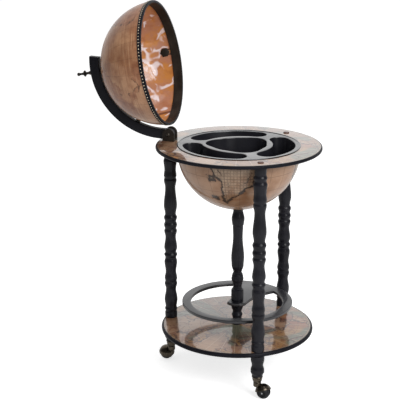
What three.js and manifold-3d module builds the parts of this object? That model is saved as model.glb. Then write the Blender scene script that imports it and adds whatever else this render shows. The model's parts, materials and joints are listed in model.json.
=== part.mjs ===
// Floor globe bar: a globe whose upper half is a hinged lid, on three turned legs with a bottle ring and casters.
// Millimetres, +Z up. The lid's hinge is over the first leg, towards -X, and the origin is on the floor.

import * as THREE from "three";
import { mergeVertices } from "three/addons/utils/BufferGeometryUtils.js";
import Module from "manifold-3d";

const wasm = await Module();
wasm.setup();

// Gaps: pieces that touch, parts that turn in each other, and how far a cut runs past a face
const seatGap = 0.3;
const turnGap = 0.25;
const overrun = 5;

// Globe
const globeRadius = 165;
const globeWall = 3;
const poleSeatRadius = 10;
const bowlSeatRadius = 13;

// Trim of the dome's mouth: a black liner inside with a flange under the rim, and a beaded band outside
const linerDepth = 25;
const linerWall = 2;
const linerFlange = 1.5;
const linerOverhang = 1.4;
const bandHeight = 10;
const bandWall = 1;
const bandLip = 0.4;

// Latch plates inside the dome, left and right of the mouth
const latchRadius = 13;
const latchHeight = 41;
const latchShift = 8;
const latchThickness = 2;
const latchProngWidth = 3;
const latchProngSpread = 7;

// Meridian arm, and what holds the dome to it
const armGap = 13.4;
const armDepth = 27;
const armWidth = 19;
const armShift = 0.5;
const armEdge = 1.5;
const armEndAngle = 102.9;
const poleSpacerRadius = 8;
const rimSpacerRadius = 7;
const rimSpacerAngle = 34;
const rimScrewRadius = 2.2;
const rimScrewDepth = 19;
const rimScrewHeadRadius = 5;
const rimScrewHeadHeight = 2.4;

// Finial with its stud, and the nut inside the dome
const finialLength = 42;
const finialRadius = 8.6;
const finialStudRadius = 3;
const poleNutRadius = 6.5;
const poleNutHeight = 5.5;
const poleWasherHeight = 1.5;
const poleStudEnd = 4;

// Hinge bracket, bolt and screws
const bracketBase = 4;
const knuckleClearance = 1.05;
const heelGap = 0.2;
const cheekThickness = 7.5;
const cheekGap = 0.5;
const cheekMargin = 3;
const cheekEdge = 1;
const hingeBoltRadius = 3.5;
const hingeBoltHeadRadius = 5.5;
const hingeBoltHeadHeight = 3.2;
const hingeNutRadius = 6.5;
const hingeNutHeight = 4.5;
const bracketScrewOffset = 11.5;
const bracketScrewRadius = 1.8;
const bracketScrewLength = 9;
const bracketScrewHeadRadius = 3.2;
const bracketScrewHeadHeight = 1.3;

// Table ring
const tableThickness = 9.5;
const tableTopHeight = 648;
const tableMargin = 30.7;
const tableLedge = 4;
const tableEdgeRadius = 3;

// Moulded insert: flange on the table, a centre well and three pockets between the spokes
const trayWall = 2;
const trayOverlap = 6.5;
const trayFlange = 1.8;
const trayLip = 1.6;
const wellShare = 0.47;
const wellBulge = 16;
const wellDepth = 104;
const wellBand = 16;
const pocketDepth = 72;
const pocketMargin = 7.5;
const pocketEndRadius = 27;
const pocketFloorRound = 6;
const spokeWidth = 29;
const trayDraftShare = 0.08;

// Turned legs, their screws, caps and studs
const legRadius = 18.2;
const legScrewRadius = 3;
const legScrewDepth = 42;
const legScrewHeadRadius = 5.5;
const legScrewHeadHeight = 3;
const legCapRadius = 8.2;
const legCapHeight = 2.6;
const studRadius = 4;
const studDepth = 28;

// Shelf, feet and centre posts
const shelfThickness = 12.3;
const shelfTopHeight = 134;
const shelfMargin = 18.8;
const shelfEdgeRadius = 3;
const footRadius = 18.3;
const upperPostRadius = 17.9;
const lowerPostRadius = 17.3;
const postScrewRadius = 3;
const postScrewDepth = 38;
const postScrewHeadRadius = 8;
const postScrewHeadHeight = 3.5;
const postStudShare = 0.33;

// Bottle ring: one board with an off-centre opening and one tongue that the posts clamp
const ringOuterRadius = 153;
const ringOpeningRadius = 127.5;
const ringOpeningShift = 4;
const ringThickness = 8.3;
const ringTopHeight = 204;
const ringEdge = 1.5;
const tongueEndRadius = 31.5;
const tongueNarrowSide = 20;
const tongueWideSide = 29;
const tongueWideSpread = 70;
const tongueNarrowSpread = 50;
const tongueBendShare = 0.5;
const tongueAngle = 82;

// Casters: brass socket and hood, twin black wheels
const casterSocketHeight = 62;
const casterSocketLength = 16;
const casterSocketRadius = 15;
const casterNeckRadius = 9;
const casterTrail = 18;
const wheelRadius = 19;
const wheelTread = 4.5;
const wheelHalfWidth = 15.5;
const wheelDish = 1.2;
const wheelHubRadius = 8.5;
const hoodGap = 0.4;
const hoodWall = 1.2;
const hoodDrop = 3;
const hoodTiltAngle = 18;
const finThickness = 3;
const finHubRadius = 7;
const finGap = 0.7;
const axleRadius = 2.5;
const axleHalfLength = 13;
const stemRadius = 3.8;
const stemDepth = 24;
const bossRadius = 8;
const bossLength = 14;
const trailAngles = [155, -8, 110];

// The legs stand at thirds of a turn, the first one under the hinge.
const legAngles = [Math.PI, -Math.PI / 3, Math.PI / 3];

// The well draws out on both sides of a spoke by this angle.
const wellBulgeSpread = Math.PI / 4;

// Facets
const discSides = 32;
const globeSides = 28;
const globeRings = 6;
const turnedSides = 12;
const wheelSides = 12;
const wellSides = 36;
const pinSides = 6;
const roundSteps = 2;
const bendSteps = 20;
const knuckleSteps = 8;
const sideSteps = 6;
const hoodSteps = 3;

// Turned outlines: height as a share of the length from the lower end, radius as a share of the largest radius
const legShares = [
  [0, 0.91], [0.006, 0.94], [0.028, 0.95], [0.037, 0.86], [0.051, 0.97], [0.061, 0.86], [0.104, 1],
  [0.168, 0.78], [0.2, 0.97], [0.215, 0.88], [0.229, 0.97], [0.269, 0.81], [0.328, 0.98], [0.353, 0.84],
  [0.371, 1], [0.384, 0.84], [0.411, 0.99], [0.473, 0.8], [0.509, 0.98], [0.52, 0.86], [0.542, 1],
  [0.562, 0.86], [0.585, 1], [0.604, 0.82], [0.652, 1], [0.755, 0.78], [0.798, 0.96], [0.81, 0.88],
  [0.822, 0.96], [0.857, 0.87], [0.905, 1], [0.926, 0.86], [0.941, 0.98], [0.955, 0.84], [1, 0.88],
];
const footShares = [
  [0, 0.78], [0.05, 0.8], [0.2, 1], [0.3, 0.99], [0.52, 0.83], [0.8, 1], [0.94, 0.98], [1, 0.95],
];
const upperPostShares = [
  [0, 0.93], [0.012, 0.955], [0.107, 0.955], [0.12, 0.91], [0.125, 0.73], [0.151, 0.66], [0.184, 0.75],
  [0.235, 0.946], [0.262, 0.885], [0.292, 0.78], [0.298, 0.64], [0.385, 0.94], [0.46, 1], [0.686, 0.746],
  [0.81, 0.8], [0.818, 0.89], [0.878, 0.99], [0.975, 0.74], [1, 0.73],
];
const lowerPostShares = [
  [0, 0.82], [0.12, 0.82], [0.26, 0.71], [0.36, 0.78], [0.455, 0.88], [0.53, 0.77], [0.6, 0.69],
  [0.8, 0.93], [0.88, 1], [1, 1],
];
const turningStepShare = 1.4;
const finialShares = [
  [0, 0.7], [0.1, 0.6], [0.24, 0.4], [0.36, 0.46], [0.42, 1], [0.48, 0.95], [0.55, 0.42], [0.72, 0.34],
  [0.8, 0.42], [0.9, 0.55], [0.97, 0.36],
];

// Places worked out from the sizes above
const globeInner = globeRadius - globeWall;
const armRadius = globeRadius + armGap + armDepth / 2;
const armInner = armRadius - armDepth / 2;
const armOuter = armRadius + armDepth / 2;
const pivotHeight = bracketBase + knuckleClearance + armDepth / 2;
const trayTop = seatGap + trayFlange;
const closedRimHeight = trayTop + seatGap;
const pivotRise = pivotHeight - closedRimHeight;
const armReach = Math.sqrt(armRadius ** 2 - pivotRise ** 2);
const legCircleRadius = armReach + armShift;
const tableRadius = legCircleRadius + tableMargin;
const shelfRadius = legCircleRadius + shelfMargin;
const tableHoleRadius = globeInner - tableLedge;
const wellRadius = wellShare * tableHoleRadius;
const tableUnderside = tableTopHeight - tableThickness;
const shelfUnderside = shelfTopHeight - shelfThickness;
const bowlRim = tableUnderside - seatGap;
const legBottom = shelfTopHeight + seatGap;
const legLength = tableUnderside - seatGap - legBottom;
const footBottom = casterSocketHeight + seatGap;
const footLength = shelfUnderside - seatGap - footBottom;
const bowlSeatOuter = bowlRim - Math.sqrt(globeRadius ** 2 - bowlSeatRadius ** 2);
const bowlSeatInner = bowlRim - Math.sqrt(globeInner ** 2 - bowlSeatRadius ** 2);
const poleSeatOuter = Math.sqrt(globeRadius ** 2 - poleSeatRadius ** 2);
const poleSeatInner = Math.sqrt(globeInner ** 2 - poleSeatRadius ** 2);
const ringUnderside = ringTopHeight - ringThickness;
const upperPostBottom = ringTopHeight + seatGap;
const upperPostLength = bowlSeatOuter - seatGap - upperPostBottom;
const lowerPostBottom = shelfTopHeight + seatGap;
const lowerPostLength = ringUnderside - seatGap - lowerPostBottom;
const postStudDepth = postStudShare * lowerPostLength;

// The lid is open when the arm's heel lies on the bracket's base.
const heelAngle = Math.PI - Math.asin(1 - (knuckleClearance - heelGap) / armRadius);
const openAngle = Math.asin(pivotRise / armRadius) + heelAngle;

const degrees = THREE.MathUtils.degToRad;

// Finishes
const finishes = {
  satinBlack: { color: 0x232328, roughness: 0.42, metalness: 0 },
  glossBlack: { color: 0x0d0e12, roughness: 0.1, metalness: 0 },
  trimBlack: { color: 0x2b2622, roughness: 0.35, metalness: 0 },
  mapPaper: { color: 0xb98a62, roughness: 0.22, metalness: 0 },
  printedBoard: { color: 0xa98468, roughness: 0.12, metalness: 0 },
  capWood: { color: 0x4a1f16, roughness: 0.4, metalness: 0 },
  darkMetal: { color: 0x3a352f, roughness: 0.35, metalness: 0.9 },
  brass: { color: 0x7c6a48, roughness: 0.3, metalness: 1 },
  steel: { color: 0xa8a9ab, roughness: 0.35, metalness: 1 },
  wheelBlack: { color: 0x17171b, roughness: 0.3, metalness: 0 },
};

// Solids: joining and cutting of closed meshes
function toSolid(geometry) {
  const bare = geometry.clone();
  bare.deleteAttribute("normal");
  bare.deleteAttribute("uv");
  const merged = mergeVertices(bare);
  return new wasm.Manifold(
    new wasm.Mesh({
      numProp: 3,
      vertProperties: merged.attributes.position.array,
      triVerts: new Uint32Array(merged.index.array),
    }),
  );
}

function toGeometry(solid) {
  const mesh = solid.getMesh();
  const geometry = new THREE.BufferGeometry();
  geometry.setAttribute("position", new THREE.BufferAttribute(mesh.vertProperties, mesh.numProp));
  geometry.setIndex(new THREE.BufferAttribute(mesh.triVerts, 1));
  geometry.computeVertexNormals();
  return geometry;
}

function cut(base, ...tools) {
  return toGeometry(tools.reduce((solid, tool) => solid.subtract(toSolid(tool)), toSolid(base)));
}

function join(base, ...others) {
  return toGeometry(others.reduce((solid, other) => solid.add(toSolid(other)), toSolid(base)));
}

function overlap(base, other) {
  return toGeometry(toSolid(base).intersect(toSolid(other)));
}

// A turned solid about Z from an outline of [radius, height] points, walked with the material on its left
function turned(outline, sides) {
  const points = outline.map(([radius, height]) => new THREE.Vector2(radius, height));
  return new THREE.LatheGeometry(points, sides).rotateX(Math.PI / 2);
}

function ring(outline, sides) {
  return turned([...outline, outline[0]], sides);
}

function rod(radius, low, high, sides = pinSides) {
  return turned([[0, low], [radius, low], [radius, high], [0, high]], sides);
}

function tube(inner, outer, low, high, sides) {
  return ring([[inner, low], [outer, low], [outer, high], [inner, high]], sides);
}

// Points on an arc about a centre in the outline's plane, angles in radians
function arc(centreRadius, centreHeight, radius, from, to, steps) {
  return Array.from({ length: steps + 1 }, (_, step) => {
    const angle = from + ((to - from) * step) / steps;
    return [centreRadius + radius * Math.cos(angle), centreHeight + radius * Math.sin(angle)];
  });
}

// The outline of a turning: between its listed points it swells and draws in as a cosine does, in steps of the radius
function turning(shares, length, radius) {
  const outline = [[shares[0][1] * radius, 0]];
  for (let index = 1; index < shares.length; index += 1) {
    const [lowShare, fromShare] = shares[index - 1];
    const [highShare, toShare] = shares[index];
    const rise = highShare - lowShare;
    const steps = Math.max(1, Math.round((rise * length) / (turningStepShare * radius)));
    for (let step = 1; step <= steps; step += 1) {
      const part = step / steps;
      const ease = (1 - Math.cos(Math.PI * part)) / 2;
      outline.push([(fromShare + (toShare - fromShare) * ease) * radius, (lowShare + rise * part) * length]);
    }
  }
  return outline;
}

// A turning with a blind hole in each end
function bored(outline, length, low, high) {
  return turned(
    [
      [0, low.depth],
      [low.radius, low.depth],
      [low.radius, 0],
      ...outline,
      [high.radius, length],
      [high.radius, length - high.depth],
      [0, length - high.depth],
    ],
    turnedSides,
  );
}

// A round disc or ring with rounded outer edges
function board(innerRadius, outerRadius, low, high, edge) {
  const edgeCentre = outerRadius - edge;
  const outer = [
    ...arc(edgeCentre, low + edge, edge, -Math.PI / 2, 0, roundSteps),
    ...arc(edgeCentre, high - edge, edge, 0, Math.PI / 2, roundSteps),
  ];
  return innerRadius > 0
    ? ring([[innerRadius, low], ...outer, [innerRadius, high]], discSides)
    : turned([[0, low], ...outer, [0, high]], discSides);
}

// A solid through rings of points that all have the same count, from the lowest ring to the highest
function lofted(rings) {
  const count = rings[0].length;
  const positions = rings.flat().flatMap((point) => point.toArray());
  const index = [];
  for (let level = 0; level + 1 < rings.length; level += 1) {
    for (let step = 0; step < count; step += 1) {
      const here = level * count + step;
      const next = level * count + ((step + 1) % count);
      index.push(here, next, next + count, here, next + count, here + count);
    }
  }
  const flat = rings[0].map((point) => new THREE.Vector2(point.x, point.y));
  const top = (rings.length - 1) * count;
  for (const [first, second, third] of THREE.ShapeUtils.triangulateShape(flat, [])) {
    index.push(first, third, second, top + first, top + second, top + third);
  }
  const geometry = new THREE.BufferGeometry();
  geometry.setAttribute("position", new THREE.Float32BufferAttribute(positions, 3));
  geometry.setIndex(index);
  return geometry;
}

// A shape from an outline of [x, y] points
function shapeOf(outline) {
  return new THREE.Shape(outline.map(([x, y]) => new THREE.Vector2(x, y)));
}

// A plate of even thickness with small bevels, its middle at height 0
function plateOf(shape, thickness, edge) {
  const geometry = new THREE.ExtrudeGeometry(shape, {
    depth: thickness - 2 * edge,
    bevelEnabled: edge > 0,
    bevelThickness: edge,
    bevelSize: edge,
    bevelOffset: -edge,
    bevelSegments: 1,
  });
  return geometry.translate(0, 0, edge - thickness / 2);
}

// The same with its outline in X and Z, centred on Y = 0
function sidePlate(outline, width, edge) {
  return plateOf(shapeOf(outline), width, edge).rotateX(Math.PI / 2);
}

function alongY(geometry) {
  return geometry.rotateX(-Math.PI / 2);
}

function piece(name, finish, geometry, parent) {
  const mesh = new THREE.Mesh(geometry, new THREE.MeshStandardMaterial(finishes[finish]));
  mesh.name = name;
  parent.add(mesh);
  return mesh;
}

// Half a globe with its mouth at the height given, open downwards: the dome. The bowl is the same, turned over.
// The first stretch at the mouth is straight, so that the trim lies flat against it.
function halfGlobeOutline(radius, seatRadius, straight) {
  const from = Math.asin(straight / radius);
  const to = Math.acos(seatRadius / radius);
  return arc(0, 0, radius, from, to, globeRings);
}

function domeCavity(gap) {
  const inner = globeInner - gap;
  const arcPoints = halfGlobeOutline(inner, poleSeatRadius, linerDepth);
  return turned([[0, 0], [inner, 0], ...arcPoints, [0, poleSeatInner - gap]], globeSides);
}

function domeBody(gap) {
  const outer = globeRadius + gap;
  const arcPoints = halfGlobeOutline(outer, poleSeatRadius, bandHeight);
  return turned([[0, 0], [outer, 0], ...arcPoints, [0, poleSeatOuter + gap]], globeSides);
}

function domeShell() {
  const rim = linerFlange + seatGap;
  const outer = halfGlobeOutline(globeRadius, poleSeatRadius, bandHeight);
  const inner = halfGlobeOutline(globeInner, poleSeatRadius, linerDepth).reverse();
  const hole = finialStudRadius + seatGap;
  const outline = [
    [globeRadius, rim],
    ...outer,
    [hole, poleSeatOuter],
    [hole, poleSeatInner],
    ...inner,
    [globeInner, rim],
  ];
  return cut(ring(outline, globeSides), rimScrewWay());
}

function domeLiner() {
  const top = [Math.sqrt(globeInner ** 2 - linerDepth ** 2) - seatGap, linerDepth];
  const outer = globeInner - seatGap;
  const flange = globeRadius + linerOverhang;
  const outline = [
    [outer - linerWall, 0],
    [flange, 0],
    [flange, linerFlange],
    [outer, linerFlange],
    top,
    [top[0] - linerWall, top[1]],
  ];
  return ring(outline, globeSides);
}

function edgeBand() {
  const low = linerFlange + seatGap;
  const inner = globeRadius + seatGap;
  const outer = inner + bandWall;
  const lip = outer + bandLip;
  const outline = [
    [inner, low],
    [lip, low],
    [lip, low + bandLip],
    [outer, low + 2 * bandLip],
    [outer, bandHeight - 2 * bandLip],
    [lip, bandHeight - bandLip],
    [inner, bandHeight],
  ];
  return ring(outline, globeSides);
}

// The latch plate: a hexagon with two prongs that reach down to the liner, laid against the dome's inner wall
function latchPlate(side) {
  const lift = Math.asin(latchHeight / globeInner);
  const inset = latchThickness + latchSagitta();
  const prongEnd = inset * Math.tan(lift) - (latchHeight - linerDepth - 2 * seatGap) / Math.cos(lift);
  const depth = 2 * latchThickness + globeWall;
  const hexagon = new THREE.CylinderGeometry(latchRadius, latchRadius, depth, 6);
  const prong = (shift) => new THREE.BoxGeometry(latchProngWidth, depth, -prongEnd).translate(shift, 0, prongEnd / 2);
  const outside = join(hexagon, prong(-latchProngSpread), prong(latchProngSpread));
  outside.translate(0, globeInner - inset + depth / 2, 0);
  outside.rotateX(lift).rotateZ(-latchShift / globeInner);
  const placed = side > 0 ? outside : outside.rotateZ(Math.PI + (2 * latchShift) / globeInner);
  return overlap(placed, domeCavity(seatGap));
}

// How far the faceted inner wall of the dome lies inside the true sphere, at most
function latchSagitta() {
  return globeInner * (1 - Math.cos(Math.PI / globeSides));
}

// The meridian arm: a bent bar with a round knuckle on the pivot. Its arc lies about a centre just off the globe's.
function armAngle(angle) {
  return Math.PI - degrees(angle);
}

function armBlank() {
  const knuckleAngle = Math.PI - Math.asin(pivotRise / armRadius);
  const endAngle = armAngle(armEndAngle);
  const outline = [
    ...arc(-armShift, 0, armOuter, endAngle, knuckleAngle, bendSteps),
    ...arc(-legCircleRadius, pivotRise, armDepth / 2, knuckleAngle, knuckleAngle + Math.PI, knuckleSteps).slice(1, -1),
    ...arc(-armShift, 0, armInner, knuckleAngle, endAngle, bendSteps),
  ];
  return sidePlate(outline, armWidth, armEdge);
}

function meridianArm() {
  const boltWay = alongY(rod(hingeBoltRadius + turnGap, -armWidth, armWidth, wheelSides));
  boltWay.translate(-legCircleRadius, 0, pivotRise);
  const studWay = rod(finialStudRadius + seatGap, globeRadius, armOuter + overrun, turnedSides);
  return cut(armBlank(), boltWay, studWay, rimScrewWay());
}

// The way of the screw that holds the dome to the arm near its rim, seen from the globe's centre
function towardsRimSpacer(geometry) {
  return geometry.rotateY(-(Math.PI / 2 - degrees(rimSpacerAngle)));
}

function rimScrewWay() {
  const end = armInner + rimScrewDepth + seatGap;
  return towardsRimSpacer(rod(rimScrewRadius + seatGap, globeInner - overrun, end));
}

function rimScrew() {
  const seat = globeInner * Math.cos(Math.PI / globeSides) - globeWall / 2;
  const outline = [
    [0, seat - rimScrewHeadHeight],
    [rimScrewHeadRadius, seat - rimScrewHeadHeight],
    [rimScrewHeadRadius, seat],
    [rimScrewRadius, seat],
    [rimScrewRadius, armInner + rimScrewDepth - rimScrewRadius],
    [0, armInner + rimScrewDepth],
  ];
  return towardsRimSpacer(turned(outline, pinSides));
}

// A spacer between dome and arm. The arm is drawn a gap nearer to the globe to trim it.
function trimmedSpacer(blank) {
  const share = (armInner - seatGap) / armInner;
  const nearArm = armBlank().translate(armShift, 0, 0).scale(share, 2, share).translate(-armShift, 0, 0);
  return cut(blank, domeBody(seatGap), nearArm);
}

function rimSpacer() {
  const blank = tube(rimScrewRadius + seatGap, rimSpacerRadius, globeInner, armInner + overrun, pinSides);
  return trimmedSpacer(towardsRimSpacer(blank));
}

function poleSpacer() {
  return trimmedSpacer(tube(finialStudRadius + seatGap, poleSpacerRadius, globeInner, armInner + overrun, turnedSides));
}

function finial() {
  const foot = Math.sqrt(armOuter ** 2 - armShift ** 2) + seatGap;
  const outline = turning(finialShares, finialLength, finialRadius).map(([radius, height]) => [radius, foot + height]);
  const studEnd = poleSeatInner - poleWasherHeight - poleNutHeight - poleStudEnd;
  return turned(
    [[0, studEnd], [finialStudRadius, studEnd], [finialStudRadius, foot], ...outline, [0, foot + finialLength]],
    turnedSides,
  );
}

function hexNut(radius, height, hole) {
  const outside = new THREE.CylinderGeometry(radius, radius, height, 6).rotateX(Math.PI / 2);
  outside.translate(0, 0, height / 2);
  return cut(outside, rod(hole, -overrun, height + overrun, turnedSides));
}

function poleNut() {
  const washerTop = poleSeatInner - seatGap;
  const washerLow = washerTop - poleWasherHeight;
  const hole = finialStudRadius + seatGap;
  const nut = hexNut(poleNutRadius, poleNutHeight + seatGap, hole).translate(0, 0, washerLow - poleNutHeight);
  return join(tube(hole, poleSeatRadius - seatGap, washerLow, washerTop, turnedSides), nut);
}

// The hinge bracket: two round-topped cheeks on a base. The frame is the pivot's, with the table below.
function bracket() {
  const cheekRadius = armDepth / 2 + cheekMargin;
  const low = seatGap - pivotHeight;
  const outline = [[-cheekRadius, low], [cheekRadius, low], ...arc(0, 0, cheekRadius, 0, Math.PI, knuckleSteps)];
  const middle = armWidth / 2 + cheekGap + cheekThickness / 2;
  const cheek = (side) => sidePlate(outline, cheekThickness, cheekEdge).translate(0, side * middle, 0);
  const baseWidth = armWidth + 2 * cheekGap + cheekThickness;
  const baseTop = bracketBase - pivotHeight;
  const base = new THREE.BoxGeometry(2 * cheekRadius, baseWidth, baseTop - low);
  base.translate(0, 0, (baseTop + low) / 2);
  const boltWay = alongY(rod(hingeBoltRadius + seatGap, -tableRadius, tableRadius, wheelSides));
  const screwWay = (side) => join(
    rod(bracketScrewRadius + seatGap, low - overrun, baseTop),
    rod(bracketScrewHeadRadius + seatGap, baseTop - bracketScrewHeadHeight - seatGap, baseTop + seatGap),
  ).translate(side * bracketScrewOffset, 0, 0);
  return cut(join(base, cheek(-1), cheek(1)), boltWay, screwWay(-1), screwWay(1));
}

// Head on the front cheek, shank through both, end in the nut on the back cheek
function hingeBolt() {
  const face = armWidth / 2 + cheekGap + cheekThickness + seatGap;
  const tip = face + hingeNutHeight + turnGap;
  const head = arc(0, face, hingeBoltHeadRadius, 0, Math.PI / 2, roundSteps + 1).slice(0, -1)
    .map(([radius, height]) => [radius, face + ((height - face) * hingeBoltHeadHeight) / hingeBoltHeadRadius]);
  const outline = [
    [0, -tip],
    [hingeBoltRadius, -tip],
    [hingeBoltRadius, face],
    ...head,
    [0, face + hingeBoltHeadHeight],
  ];
  return turned(outline, wheelSides).rotateX(Math.PI / 2);
}

function hingeNut() {
  const face = armWidth / 2 + cheekGap + cheekThickness + seatGap;
  return alongY(hexNut(hingeNutRadius, hingeNutHeight, hingeBoltRadius + turnGap)).translate(0, face, 0);
}

// A screw that points down from its head, whose underside is at height 0
function screw(radius, length, headRadius, headHeight) {
  const outline = [
    [0, -length],
    [radius, radius - length],
    [radius, 0],
    [headRadius, 0],
    [headRadius - headHeight / 3, headHeight],
    [0, headHeight],
  ];
  return turned(outline, pinSides);
}

function tableRing() {
  const blank = board(tableHoleRadius, tableRadius, tableUnderside, tableTopHeight, tableEdgeRadius);
  const counterbore = tableTopHeight - legScrewHeadHeight - seatGap;
  const ways = legAngles.map((angle) => {
    const way = join(
      rod(legScrewRadius + seatGap, tableUnderside - overrun, tableTopHeight + overrun),
      rod(legScrewHeadRadius + seatGap, counterbore, tableTopHeight + 2 * overrun, turnedSides),
    );
    return way.translate(legCircleRadius, 0, 0).rotateZ(angle);
  });
  const bracketWays = [-1, 1].map((side) => {
    const bottom = tableTopHeight + bracketBase - bracketScrewHeadHeight - bracketScrewLength - seatGap;
    const way = rod(bracketScrewRadius + seatGap, bottom, tableTopHeight + overrun);
    return way.translate(side * bracketScrewOffset - legCircleRadius, 0, 0);
  });
  return cut(blank, ...ways, ...bracketWays);
}

// A pocket's outline: a band bent about the centre, flatter on its inner side, with round ends beside the spokes
function pocketRing(inset, height) {
  const middle = tableHoleRadius - pocketMargin - pocketEndRadius;
  const spread = Math.PI / 3 - Math.asin((spokeWidth / 2 + pocketEndRadius) / middle);
  const endX = middle * Math.cos(spread);
  const endY = middle * Math.sin(spread);
  const near = wellRadius + wellBand + pocketEndRadius;
  const innerShift = (middle ** 2 - near ** 2) / (2 * (near - endX));
  const innerSpread = Math.atan2(endY, endX + innerShift);
  const reach = pocketEndRadius - inset;
  const endSteps = knuckleSteps / 2;
  const points = [
    ...arc(0, 0, middle + reach, -spread, spread, sideSteps).slice(1, -1),
    ...arc(endX, endY, reach, spread, Math.PI + innerSpread, endSteps),
    ...arc(-innerShift, 0, near + innerShift - reach, innerSpread, -innerSpread, sideSteps).slice(1, -1),
    ...arc(endX, -endY, reach, Math.PI - innerSpread, 2 * Math.PI - spread, endSteps),
  ];
  return points.map(([x, y]) => new THREE.Vector3(x, y, height));
}

function pocketCavity(top) {
  const floor = top - pocketDepth;
  const draft = trayDraftShare * pocketDepth;
  return lofted([
    pocketRing(draft + pocketFloorRound, floor),
    pocketRing(draft, floor + pocketFloorRound),
    pocketRing(0, top - trayLip),
    pocketRing(-trayLip, top),
    pocketRing(-trayLip, top + overrun),
  ]);
}

function pocketBody(top) {
  const floor = top - pocketDepth - trayWall;
  const draft = trayDraftShare * pocketDepth;
  return lofted([
    pocketRing(draft + pocketFloorRound - trayWall, floor),
    pocketRing(draft - trayWall, floor + pocketFloorRound),
    pocketRing(-trayWall, top - trayWall / 2),
  ]);
}

// The well's outline: round, and drawn out as a cosine does towards each spoke
function wellRing(inset, height) {
  return Array.from({ length: wellSides }, (_, step) => {
    const angle = (2 * Math.PI * step) / wellSides;
    const third = (2 * Math.PI) / legAngles.length;
    const fromSpoke = Math.abs((angle % third) - third / 2);
    const part = Math.max(0, 1 - fromSpoke / wellBulgeSpread);
    const radius = wellRadius - inset + (wellBulge * (1 - Math.cos(Math.PI * part))) / 2;
    return new THREE.Vector3(radius * Math.cos(angle), radius * Math.sin(angle), height);
  });
}

function wellCavity(top) {
  const floor = top - wellDepth;
  const draft = trayDraftShare * wellDepth;
  return lofted([
    wellRing(draft + pocketFloorRound, floor),
    wellRing(draft, floor + pocketFloorRound),
    wellRing(0, top - trayLip),
    wellRing(-trayLip, top),
    wellRing(-trayLip, top + overrun),
  ]);
}

function wellBody(top) {
  const floor = top - wellDepth - trayWall;
  const draft = trayDraftShare * wellDepth;
  return lofted([
    wellRing(draft + pocketFloorRound - trayWall, floor),
    wellRing(draft - trayWall, floor + pocketFloorRound),
    wellRing(-trayWall, top - trayWall / 2),
  ]);
}

// Cavities stand on the bisectors between the legs, so that each spoke lies over a leg.
function trayInsert() {
  const top = tableTopHeight + trayTop;
  const flangeRadius = tableHoleRadius + trayOverlap;
  const plate = turned(
    [
      [0, top - trayWall],
      [tableHoleRadius - trayWall, top - trayWall],
      [tableHoleRadius, top - trayFlange],
      [flangeRadius, top - trayFlange],
      [flangeRadius - trayFlange / 2, top],
      [0, top],
    ],
    discSides,
  );
  const turn = (geometry, angle) => geometry.rotateZ(angle + Math.PI / legAngles.length);
  const bodies = legAngles.map((angle) => turn(pocketBody(top), angle));
  const cavities = legAngles.map((angle) => turn(pocketCavity(top), angle));
  return cut(join(plate, wellBody(top), ...bodies), wellCavity(top), ...cavities);
}

function bowlShell() {
  const up = (points) => points.map(([radius, height]) => [radius, bowlRim - height]);
  const outer = up(halfGlobeOutline(globeRadius, bowlSeatRadius, 0)).reverse();
  const inner = up(halfGlobeOutline(globeInner, bowlSeatRadius, 0));
  const hole = postScrewRadius + seatGap;
  return ring([[hole, bowlSeatOuter], ...outer, ...inner, [hole, bowlSeatInner]], globeSides);
}

function leg() {
  const hole = { radius: studRadius + seatGap, depth: studDepth };
  const top = { radius: legScrewRadius + seatGap, depth: legScrewDepth };
  return bored(turning(legShares, legLength, legRadius), legLength, hole, top).translate(0, 0, legBottom);
}

function foot() {
  const low = { radius: stemRadius + turnGap, depth: stemDepth + seatGap };
  const high = { radius: studRadius + seatGap, depth: footLength - stemDepth - overrun };
  return bored(turning(footShares, footLength, footRadius), footLength, low, high).translate(0, 0, footBottom);
}

function legStud() {
  const low = footBottom + stemDepth + overrun + seatGap;
  return rod(studRadius, low, legBottom + studDepth - seatGap);
}

function legScrew() {
  const length = legScrewDepth + tableThickness - legScrewHeadHeight;
  const place = tableTopHeight - legScrewHeadHeight;
  return screw(legScrewRadius, length - seatGap, legScrewHeadRadius, legScrewHeadHeight - seatGap)
    .translate(0, 0, place);
}

function legCap() {
  const low = tableTopHeight + seatGap;
  const dome = arc(0, 0, legCapRadius, 0, Math.PI / 2, roundSteps + 1).slice(1, -1)
    .map(([radius, height]) => [radius, low + legCapHeight * (1 + height / legCapRadius) / 2]);
  const top = low + legCapHeight;
  return turned([[0, low], [legCapRadius, low], [legCapRadius, low + legCapHeight / 2], ...dome, [0, top]], turnedSides);
}

function upperPost() {
  const low = { radius: studRadius + seatGap, depth: postStudDepth };
  const high = { radius: postScrewRadius + seatGap, depth: postScrewDepth };
  return bored(turning(upperPostShares, upperPostLength, upperPostRadius), upperPostLength, low, high)
    .translate(0, 0, upperPostBottom);
}

function lowerPost() {
  const low = { radius: postScrewRadius + seatGap, depth: postStudDepth };
  const high = { radius: studRadius + seatGap, depth: postStudDepth };
  return bored(turning(lowerPostShares, lowerPostLength, lowerPostRadius), lowerPostLength, low, high)
    .translate(0, 0, lowerPostBottom);
}

function bottomShelf() {
  const blank = board(0, shelfRadius, shelfUnderside, shelfTopHeight, shelfEdgeRadius);
  const way = (radius) => rod(radius + seatGap, shelfUnderside - overrun, shelfTopHeight + overrun);
  const studWays = legAngles.map((angle) => way(studRadius).translate(legCircleRadius, 0, 0).rotateZ(angle));
  return cut(blank, way(postScrewRadius), ...studWays);
}

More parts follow.
